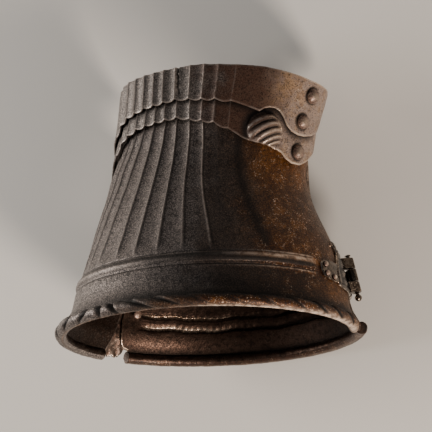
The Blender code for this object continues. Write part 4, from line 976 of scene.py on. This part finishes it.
# Painted shade in the gadroons' grooves, in the hollow above the knob, over the back, under the
# upper lame's edge and round the rivet heads
marks.update(outward=out, around=around, edge_mm=edge_distance(outer),
             grime=np.maximum.reduce([marks["grime"], 1.1 * groove, hollow,
                                      straight(BACK_SHADE, around),
                                      ramp(under, UNDER_DARK, 0.0) * ramp(rise, 3.6, 1.4),
                                      shade_round_heads(plain, LOWER_SECTIONS, LOWER_PIVOTS)]))
lame_mesh = run_tree(wall(outer, inner, marks), flute_tree, channel_depth=1.0,
                     ridge_height=RIDGE_HEIGHT, dent_depth=0.3, dent_size=9.0, seed=11.0,
                     sheet_material=lame_steel)
finish_piece("lower_lame_with_knob", lame_mesh, "lower_lame_body",
             ["lower_lame"])

# ---- Upper wrist lame --------------------------------------------------------------------
# The second lame lies over the first and ends the piece: the plates of the hand are lost,
# and only the rivets that held them are left. Its foot edge dips round the knob, and an old
# crack runs down beside one ridge.
UPPER_SECTIONS = (
    (84.0, 53.4, 51.8, 40.2, 40.0), (92.0, 54.5, 49.7, 39.5, 39.5),
    (100.0, 56.1, 47.7, 39.0, 39.2), (108.0, 58.5, 46.7, 38.5, 39.0),
    (116.0, 61.0, 46.0, 38.0, 38.8), (124.0, 62.4, 45.4, 37.6, 38.8),
)
UPPER_HAND_EDGE = (
    (-107.0, 109.0), (-85.0, 113.5), (-70.0, 116.5), (-56.0, 119.6), (-46.0, 120.9),
    (-35.0, 121.1), (-16.0, 121.3), (12.0, 122.2), (43.0, 119.5), (60.0, 117.0),
    (75.0, 115.0), (90.0, 114.1), (100.0, 113.8), (104.0, 112.6),
)
# (angle, z) of the rivets that carry this lame, and of those that carried the next
UPPER_PIVOTS = ((76.8, 95.0), (-89.0, 95.0))
FREE_RIVETS = ((80.4, 107.8), (-94.0, 106.0))
# The crack runs from the hand edge down and away from the ridge: (z, place)
CRACK = ((107.0, 8.26), (112.0, 8.19), (122.0, 8.12))
CRACK_WIDTH, CRACK_DEPTH = 0.07, 0.8
CRACK_WAVER = ((0.025, 1.1, 0.0), (0.02, 2.9, 0.0))

lame_places = column_places(30, 150)
around, lame_z = lame_grid(UPPER_SECTIONS, UPPER_FOOT_EDGE, UPPER_HAND_EDGE, lame_places, 40)
off_crack = lame_places[:, None] - straight(CRACK, lame_z) - waves(CRACK_WAVER, lame_z)
deep = ramp(lame_z, CRACK[0][0], CRACK[0][0] + 2)
crack = np.clip(1.3 - np.abs(off_crack) / CRACK_WIDTH, 0, 1) * deep
torn = bump(off_crack + 2 * CRACK_WIDTH, CRACK_WIDTH) * deep
outer, out = oval(UPPER_SECTIONS, around, lame_z, -CRACK_DEPTH * crack)
inner, out = oval(UPPER_SECTIONS, around, lame_z, -LAME_SHEET)
marks = flute_marks(lame_places[:, None] + 0 * lame_z, 1.0, LAME_RIDGE_SHADE)
# Painted shade in the crack, over the back and round the rivet heads
marks.update(outward=out, around=around, edge_mm=edge_distance(outer),
             ridge=np.maximum(marks["ridge"], torn),
             golden=0.6 * bump(around - 60.0, 8.0) * ramp(lame_z, 96.0, 102.0),
             grime=np.maximum.reduce([marks["grime"], crack, straight(BACK_SHADE, around),
                                      shade_round_heads(outer, UPPER_SECTIONS,
                                                 UPPER_PIVOTS + FREE_RIVETS)]))
lame_mesh = run_tree(wall(outer, inner, marks), flute_tree, channel_depth=1.0,
                     ridge_height=RIDGE_HEIGHT, dent_depth=0.35, dent_size=10.0, seed=14.0,
                     sheet_material=lame_steel)
finish_piece("fluted_upper_lame", lame_mesh, "upper_lame_body", ["upper_lame"])

# ---- Rivets of the lames -----------------------------------------------------------------
# Forged iron rivets with domed heads. One pair pivots the lower lame on the cuff, one pair
# pivots the upper lame on the lower, and the last pair once held the next lame. Each is
# peened over inside, a little clear of the sheet so that the lames can swing.
TAIL_RADIUS, TAIL_HEIGHT, SHANK_RADIUS = 2.5, 0.8, 1.6
# How far a head stands off its sheet, and a tail off the sheet beneath
RIVET_SEAT, TAIL_SEAT = 0.15, 0.45
# Depth of a dome's underside, as a share of its height; facets for each millimetre
UNDERSIDE, RIVET_FACETS = 0.2, 0.4

rivet_tree, tin = new_tree("domed_rivets", (
    ("Head radius", "Float"), ("Head height", "Float"), ("Tail radius", "Float"),
    ("Tail height", "Float"), ("Shank radius", "Float"), ("Unevenness", "Float"),
    ("Seed", "Float"), ("Rivet material", "Material")))


def dome(tree, radius, height):
    """Half of a ball on a shallow underside, its height kept as an attribute."""
    ball = add(tree, "GeometryNodeMeshUVSphere", {"Segments": 36, "Rings": 20, "Radius": 1.0})
    spot = add(tree, "GeometryNodeInputPosition")
    rise = add(tree, "ShaderNodeSeparateXYZ", (spot,), out="Z")
    ball = add(tree, "GeometryNodeStoreNamedAttribute",
               {"Geometry": ball, "Name": "rise", "Value": rise}, data_type="FLOAT")
    above, below = (add(tree, MATH, (rise, 0.0), operation=kind)
                    for kind in ("MAXIMUM", "MINIMUM"))
    lift = add(tree, MATH, (below, UNDERSIDE, above), operation="MULTIPLY_ADD")
    lift = add(tree, MATH, (lift, height), operation="MULTIPLY")
    up = add(tree, "ShaderNodeCombineXYZ", {"Z": lift})
    flat = add(tree, VECTORS, (spot, (1, 1, 0)), operation="MULTIPLY")
    flat = add(tree, VECTORS, {0: flat, "Scale": radius}, operation="SCALE")
    place = add(tree, VECTORS, (flat, up), operation="ADD")
    return add(tree, MOVE, {"Geometry": ball, "Position": place})


axis = add(rivet_tree, STORED, ("axis",), data_type="FLOAT_VECTOR")
size, stack = (add(rivet_tree, STORED, (label,), data_type="FLOAT")
               for label in ("size", "stack"))
inward = add(rivet_tree, VECTORS, {0: axis, "Scale": -1.0}, operation="SCALE")
depth = add(rivet_tree, VECTORS, {0: inward, "Scale": stack}, operation="SCALE")
middle = add(rivet_tree, VECTORS, {0: depth, "Scale": 0.5}, operation="SCALE")
tails, shanks = (add(rivet_tree, MOVE, {"Geometry": tin["Geometry"], "Offset": offset})
                 for offset in (depth, middle))
rod = add(rivet_tree, "GeometryNodeMeshCylinder",
          {"Vertices": 20, "Radius": tin["Shank radius"], "Depth": 1.0})
rod_size = add(rivet_tree, "ShaderNodeCombineXYZ", (size, size, stack))
head = dome(rivet_tree, tin["Head radius"], tin["Head height"])
tail = dome(rivet_tree, tin["Tail radius"], tin["Tail height"])
# One copy of each shape on every point, standing along the rivet's axis
rivets = rivet_tree.nodes.new("GeometryNodeJoinGeometry")
for points, shape, way, scale in (
        (shanks, rod, axis, rod_size), (tails, tail, inward, size),
        (tin["Geometry"], head, axis, size)):
    turn = add(rivet_tree, "FunctionNodeAlignRotationToVector", {"Vector": way}, axis="Z")
    copies = add(rivet_tree, "GeometryNodeInstanceOnPoints",
                 {"Points": points, "Instance": shape, "Rotation": turn, "Scale": scale})
    rivet_tree.links.new(copies, rivets.inputs[0])
real = add(rivet_tree, "GeometryNodeRealizeInstances", (rivets.outputs[0],))
skin = add(rivet_tree, "GeometryNodeInputPosition")
rough = add(rivet_tree, "ShaderNodeTexNoise",
            {"Vector": skin, "W": tin["Seed"], "Scale": RIVET_FACETS, "Detail": 2.0}, out="Color",
            noise_dimensions="4D")
rough = add(rivet_tree, VECTORS, (rough, (0.5, 0.5, 0.5)), operation="SUBTRACT")
rough = add(rivet_tree, VECTORS, {0: rough, "Scale": tin["Unevenness"]}, operation="SCALE")
real = add(rivet_tree, MOVE, {"Geometry": real, "Offset": rough})
close_tree(rivet_tree, real, tin["Rivet material"])


def rivet_points(places, stand):
    """Points of a set of rivets from (sheet under the head, angle, z, size, depth) rows."""
    spots, axes = [], []
    for sections, angle, z, size, stack in places:
        across = oval(sections, angle + 1, z)[0] - oval(sections, angle - 1, z)[0]
        along = oval(sections, angle, z + 1)[0] - oval(sections, angle, z - 1)[0]
        way = Vector(np.cross(across, along)).normalized()
        spots.append(Vector(oval(sections, angle, z)[0]) + way * (RIVET_SEAT + stand))
        axes.append(tuple(way))
    mesh = bpy.data.meshes.new("rivet_points")
    mesh.from_pydata([tuple(spot) for spot in spots], [], [])
    store(mesh, "axis", axes)
    store(mesh, "size", [row[3] for row in places])
    store(mesh, "stack", [row[4] + RIVET_SEAT + stand for row in places])
    return mesh


def finish_rivets(name, places, body, nodes, seed, stand=0.0, crown=0.6):
    """Rivets as one piece: painted shade darkens the foot of a head, and its crown is rubbed."""
    mesh = run_tree(rivet_points(places, stand), rivet_tree, head_radius=HEAD_RADIUS,
                    head_height=HEAD_HEIGHT, tail_radius=TAIL_RADIUS,
                    tail_height=TAIL_HEIGHT, shank_radius=SHANK_RADIUS, unevenness=0.35,
                    seed=seed, rivet_material=forged_iron)
    rise = kept(mesh, "rise")
    store(mesh, "grime", ramp(rise, 0.35, 0.0))
    store(mesh, "ridge", ramp(rise, 0.6, 1.0) * crown)
    store_even(mesh, around=80.0, edge_mm=NO_EDGE)
    finish_piece(name, mesh, body, nodes)


def depth_under(outer_sections, inner_sections, inner_sheet, angle, z):
    """From the outer face of one sheet to just past the inner face of the sheet beneath."""
    over, way = oval(outer_sections, angle, z)
    under, way = oval(inner_sections, angle, z, -inner_sheet)
    return float((over - under) @ way) + TAIL_SEAT


# Forged iron: hammered heads, darkened round the foot by painted shade and rubbed to bare metal
# on the crown
forged_iron = browned_steel("hand_forged_rivet_iron", outer="#736b66", middle="#453a33",
                            flank="#775f54", fleck="#9a7a64", inner="#5a3f30",
                            bright="#d8c0b0", edge="#e6d0b8", roughness=0.42)
finish_rivets("cuff_pivot_rivets", [
    (LOWER_SECTIONS, *spot, 1.0, depth_under(LOWER_SECTIONS, CUFF_SECTIONS, CUFF_SHEET, *spot))
    for spot in LOWER_PIVOTS], "lower_lame_body",
    ["cuff_pivot_little_side", "cuff_pivot_thumb_side"], 21.0)
finish_rivets("lame_pivot_rivets", [
    (UPPER_SECTIONS, *spot, 0.92, depth_under(UPPER_SECTIONS, LOWER_SECTIONS, LAME_SHEET, *spot))
    for spot in UPPER_PIVOTS], "upper_lame_body",
    ["lame_pivot_little_side", "lame_pivot_thumb_side"], 22.0)
finish_rivets("free_rivets", [
    (UPPER_SECTIONS, *spot, 1.0, LAME_SHEET + TAIL_SEAT) for spot in FREE_RIVETS],
    "upper_lame_body", ["free_rivet_little_side", "free_rivet_thumb_side"], 23.0)

# ---- Hinge -------------------------------------------------------------------------------
# Two forged iron leaves with shaped outlines, riveted to cuff and inner plate at the
# little-finger edge. Their rolled knuckles turn on a pin with a small ball at its foot. The
# cuff's leaf has a filed border round chased foliage, and a thin tongue reaches along the
# rib to hold it.
LEAF_SHEET, TONGUE_SHEET, LEAF_GAP, LEAF_INSET = 1.3, 0.9, 0.3, 0.6
# (z, degrees from the hinge edge to the near side, to the far side)
CUFF_LEAF_OUTLINE = (
    (15.0, 0.0, 16.5), (16.0, 0.0, 20.0), (18.0, 0.0, 21.0), (23.0, 0.0, 21.0),
    (28.0, 0.0, 17.8), (31.0, 0.0, 15.0), (33.6, 0.0, 13.0), (34.8, 8.5, 13.2),
    (36.6, 9.8, 13.8), (38.4, 11.8, 15.4), (39.9, 14.4, 16.8),
)
CUFF_TONGUE_OUTLINE = (
    (16.8, 17.0, 27.0), (18.2, 17.0, 32.0), (21.0, 17.0, 33.6), (24.6, 17.0, 33.6),
    (26.4, 17.0, 31.0), (27.4, 17.0, 24.0),
)
PALM_LEAF_OUTLINE = (
    (15.6, 0.0, 5.0), (17.4, 0.0, 12.0), (20.4, 0.0, 15.0), (24.6, 0.0, 13.6),
    (28.6, 0.0, 15.0), (32.6, 0.0, 12.6), (34.6, 0.0, 7.0), (37.0, 0.0, 5.0), (40.4, 1.0, 3.2),
)
# (degrees from the hinge edge, z)
CUFF_LEAF_RIVETS = ((30.6, 19.7), (30.6, 24.0), (25.2, 18.8))
PALM_LEAF_RIVETS = ((7.5, 19.0), (7.5, 31.5))
LEAF_RIVET_SIZE = 0.38
# (mm in from the border, how far the face stands): bevel, border, then the sunk field
LEAF_FACE = ((0.0, -0.75), (0.55, -0.1), (0.8, 0.0), (1.7, 0.0), (2.3, -0.55), (9.0, -0.55))
TONGUE_FACE = ((0.0, -0.5), (0.5, 0.0), (9.0, 0.0))
FOLIAGE_PITCH, FOLIAGE_LEAN, FOLIAGE_WIDTH, FOLIAGE_HEIGHT = 4.6, 0.35, 4.2, 0.7
PIN_RADIUS, PIN_RISE, PIN_SIDES = 0.9, 18.8, 32
# The peened end of the pin: (radius, height past its shank)
PIN_END = ((PIN_RADIUS, 0.0), (1.5, 0.1), (1.35, 0.5), (0.8, 0.7), (0.0, 0.75))
# The ball's middle lies this share of its radius under the pin; the turn that its neck takes
BALL_RADIUS, BALL_DROP, BALL_NECK = 1.7, 0.8, 0.55
KNUCKLE_RADIUS, KNUCKLE_BORE, KNUCKLE_SIDES = 2.3, 1.3, 48
# Where each knuckle begins and ends, in shares of the pin's length
CUFF_KNUCKLES = ((0.06, 0.32), (0.68, 0.94))
PALM_KNUCKLES = ((0.345, 0.655),)
# Degrees from the hinge edge between which a knuckle grips its leaf; its eased ends, in
# shares of the pin, and how far they are drawn in
KNUCKLE_GRIP, KNUCKLE_EASE, KNUCKLE_DRAWN = (1.2, 4.2), 0.012, 0.93

# The pin stands where the joint turns, in the cuff's own frame
hinge = joints["inner_plate_hinge"]
pin_foot = to_frame.inverted() @ Vector(hinge["pos_m"])
pin_way = LYING.to_3x3().inverted() @ Vector(hinge["axis"])
pin_way = (pin_way if pin_way.z > 0 else -pin_way).normalized()
pin_length = PIN_RISE / pin_way.z
# Filed iron: wholly metal, black in the sunk field, partly as painted shade, and bright along the
# borders and crests, partly as painted highlight
hinge_iron = browned_steel("forged_and_filed_hinge_iron", outer="#2a211b", middle="#2a211b",
                           flank="#2a211b", fleck="#3a2c22", inner="#2a211b",
                           bright="#e2c6b0", edge="#ead6c2", roughness=0.26, grain_mm=0.8,
                           metallic=1.0)


def leaf_mesh(sections, edge, sign, outline, sheet, face, foliage):
    """Leaf on a plate: columns from the knuckle outwards, rows up the forearm."""
    z = np.linspace(outline[0][0] + sheet / 2, outline[-1][0] - sheet / 2, 90)[None, :]
    near, far = straight(outline, z), straight(outline, z, 2)
    turn = near + (far - near) * np.linspace(0, 1, 60)[:, None]
    z = z + 0 * turn
    flat, out = oval(sections, edge + sign * turn, z)
    rim = edge_distance(flat, (True, True, False, True))
    stand = straight(face, rim)
    swirl = np.abs(np.cos(pi * (z + FOLIAGE_LEAN * turn) / FOLIAGE_PITCH)) ** 0.8
    middle = bump(turn - (near + far) * 0.52, FOLIAGE_WIDTH)
    stand = stand + foliage * swirl * middle * ramp(rim, 1.7, 2.6)
    # The raised border and foliage are painted bright as highlight, the sunk field dark as
    # painted shade
    marks = {"around": 90 + 0 * z, "edge_mm": rim, "ridge": ramp(stand, -0.3, 0.1) * 0.45,
             "grime": ramp(stand, -0.2, -0.5) * ramp(rim, 1.0, 2.0) * 0.75}
    return wall(flat + out * (LEAF_GAP + sheet + stand)[..., None], flat + out * LEAF_GAP, marks)


def ringed_mesh(rings, ridge):
    """Closed mesh over rings of points; a ring of a single point closes an end."""
    bm = bmesh.new()
    rings = [[bm.verts.new(point) for point in ring] for ring in rings]
    for one, two in zip(rings, rings[1:] + rings[:1]):
        for k in range(max(len(one), len(two))):
            corners = dict.fromkeys(ring[(k + step) % len(ring)] for ring, step in (
                (one, 0), (one, 1), (two, 1), (two, 0)))
            if len(corners) > 2:
                bm.faces.new(list(corners))
    bmesh.ops.recalc_face_normals(bm, faces=bm.faces[:])
    mesh = bpy.data.meshes.new("rings")
    bm.to_mesh(mesh)
    bm.free()
    store_even(mesh, around=90.0, edge_mm=NO_EDGE, ridge=ridge, grime=0.0)
    return mesh


def round_pin(sides):
    """Directions all round the pin."""
    side = pin_way.orthogonal().normalized()
    over = pin_way.cross(side)
    return [side * cos(tau * k / sides) + over * sin(tau * k / sides) for k in range(sides)]


def knuckle_mesh(sections, edge, sign, span):
    """Rolled end of a leaf: a barrel round the pin that runs out into the leaf."""
    foot, head = span
    outer, bore = [], []
    for share, pull in ((foot, KNUCKLE_DRAWN), (foot + KNUCKLE_EASE, 1.0),
                        (head - KNUCKLE_EASE, 1.0), (head, KNUCKLE_DRAWN)):
        middle = pin_foot + pin_way * (pin_length * share)
        near, out = oval(sections, edge + sign * KNUCKLE_GRIP[0], middle.z, LEAF_GAP)
        wide, out = oval(sections, edge + sign * KNUCKLE_GRIP[1], middle.z, LEAF_GAP + 0.2)
        grips = []
        for point in (wide, near, wide + out):
            grip = Vector(point) - middle
            grip -= pin_way * grip.dot(pin_way)
            grips.append((grip, np.arccos(min(KNUCKLE_RADIUS / grip.length, 1.0))))
        ring = []
        for way in round_pin(KNUCKLE_SIDES):
            reach = [KNUCKLE_RADIUS / cos(half - way.angle(grip)) for grip, half in grips
                     if way.angle(grip) < half]
            ring.append(middle + way * (pull * max([KNUCKLE_RADIUS] + reach)))
        outer.append(ring)
        bore.append([middle + way * KNUCKLE_BORE for way in round_pin(KNUCKLE_SIDES)])
    return ringed_mesh(outer + bore[::-1], 0.2)


def joined(meshes):
    """One mesh of hinge iron out of several that share their attributes."""
    bm = bmesh.new()
    for mesh in meshes:
        bm.from_mesh(mesh)
    done = bpy.data.meshes.new("hinge")
    bm.to_mesh(done)
    bm.free()
    done.materials.append(hinge_iron)
    return done


cuff_edge, palm_edge = CUFF_END - LEAF_INSET, PALM_START + LEAF_INSET
finish_piece("hinge_leaf_on_cuff", joined([
    leaf_mesh(CUFF_SECTIONS, cuff_edge, -1, CUFF_LEAF_OUTLINE, LEAF_SHEET, LEAF_FACE,
              FOLIAGE_HEIGHT),
    leaf_mesh(CUFF_SECTIONS, cuff_edge, -1, CUFF_TONGUE_OUTLINE, TONGUE_SHEET, TONGUE_FACE, 0.0)]
    + [knuckle_mesh(CUFF_SECTIONS, cuff_edge, -1, span) for span in CUFF_KNUCKLES]),
    "cuff_body", ["hinge_leaf_cuff"])
finish_piece("hinge_leaf_on_inner_plate", joined([
    leaf_mesh(PALM_SECTIONS, palm_edge, 1, PALM_LEAF_OUTLINE, LEAF_SHEET, LEAF_FACE,
              FOLIAGE_HEIGHT * 0.5)]
    + [knuckle_mesh(PALM_SECTIONS, palm_edge, 1, span) for span in PALM_KNUCKLES]),
    "inner_plate_body", ["hinge_leaf_palm"])

ball = [(BALL_RADIUS * sin(t), -BALL_RADIUS * (BALL_DROP + cos(t)))
        for t in np.linspace(0.0, pi - BALL_NECK, 12)]
pin_end = [(radius, pin_length + height) for radius, height in PIN_END]
pin_rings = [[pin_foot + pin_way * height + way * radius
              for way in round_pin(PIN_SIDES if radius else 1)]
             for radius, height in ball + [(PIN_RADIUS, 0.0)] + pin_end]
finish_piece("hinge_pin_with_ball", joined([ringed_mesh(pin_rings, 0.3)]), "cuff_body",
             ["hinge_pin"])

finish_rivets("hinge_rivets_on_cuff", [
    (CUFF_SECTIONS, cuff_edge - turn, z, LEAF_RIVET_SIZE, CUFF_SHEET + TAIL_SEAT)
    for turn, z in CUFF_LEAF_RIVETS], "cuff_body",
    ["hinge_leaf_cuff_rivet_1", "hinge_leaf_cuff_rivet_2", "hinge_leaf_cuff_rivet_3"], 24.0,
    LEAF_GAP + TONGUE_SHEET, 2.0)
finish_rivets("hinge_rivets_on_inner_plate", [
    (PALM_SECTIONS, palm_edge + turn, z, LEAF_RIVET_SIZE, CUFF_SHEET + TAIL_SEAT)
    for turn, z in PALM_LEAF_RIVETS], "inner_plate_body",
    ["hinge_leaf_palm_rivet_1", "hinge_leaf_palm_rivet_2"], 25.0,
    LEAF_GAP + LEAF_SHEET - 0.5, 2.0)

# ---- Closing tab -------------------------------------------------------------------------
# A small strip of the same sheet behind the thumb-side seam, riveted to the inner plate
# near its corner. It keeps the seam shut under the cuff's edge, and its ends are torn.
TAB_SHEET, TAB_STAND = 1.0, 1.1
# (angle, low z, high z)
TAB_EDGES = (
    (236.0, 13.0, 27.0), (238.5, 10.0, 31.5), (241.0, 5.2, 32.2), (243.5, 0.8, 32.4),
    (251.0, 1.0, 31.0), (253.5, 10.0, 29.5), (256.0, 14.0, 24.0),
)
# Its torn ends: (size, rate, start)
TAB_RAGGED = ((0.35, 2.3, 0.0), (0.25, 5.1, 1.0))
TAB_RIVET = (240.0, 21.5)
TAB_RIVET_SIZE = 0.85

# Bare sheet that has lost its patina: a dull grey-brown metal, paler along the tears
torn_steel = browned_steel("torn_bare_steel_tab", outer="#52463e", middle="#40342c",
                           flank="#40342c", fleck="#7a6250", inner="#4d3a30",
                           bright="#84766b", edge="#a39488", roughness=0.46, metallic=0.7)
tab_angle = np.linspace(TAB_EDGES[0][0], TAB_EDGES[-1][0], 60)[:, None]
low, high = straight(TAB_EDGES, tab_angle), straight(TAB_EDGES, tab_angle, 2)
ragged = waves(TAB_RAGGED, tab_angle)
tab_z = low + ragged + TAB_SHEET / 2 + (high - low - TAB_SHEET) * np.linspace(0, 1, 50)
outer, out = oval(CUFF_SECTIONS, tab_angle, tab_z, TAB_STAND + TAB_SHEET)
inner, out = oval(CUFF_SECTIONS, tab_angle, tab_z, TAB_STAND)
# The tab is lighter all over, with a painted highlight growing towards its foot
marks = {"flute": 0 * tab_z, "flute_share": 0 * tab_z, "outward": out,
         "around": tab_angle + 0 * tab_z, "edge_mm": edge_distance(outer),
         "ridge": 0.1 + 0.3 * ramp(tab_z, 12.0, 5.0)}
tab_mesh = run_tree(wall(outer, inner, marks), flute_tree, channel_depth=0.0,
                    ridge_height=0.0, dent_depth=2.6, dent_size=3.6, seed=31.0,
                    sheet_material=torn_steel)
finish_piece("torn_closing_tab", tab_mesh, "inner_plate_body",
             ["closing_tab"])
finish_rivets("tab_rivet_head", [
    (CUFF_SECTIONS, *TAB_RIVET, TAB_RIVET_SIZE, CUFF_SHEET + TAIL_SEAT + TAB_STAND)],
    "inner_plate_body", ["tab_rivet"], 26.0, TAB_STAND + TAB_SHEET, 0.1)
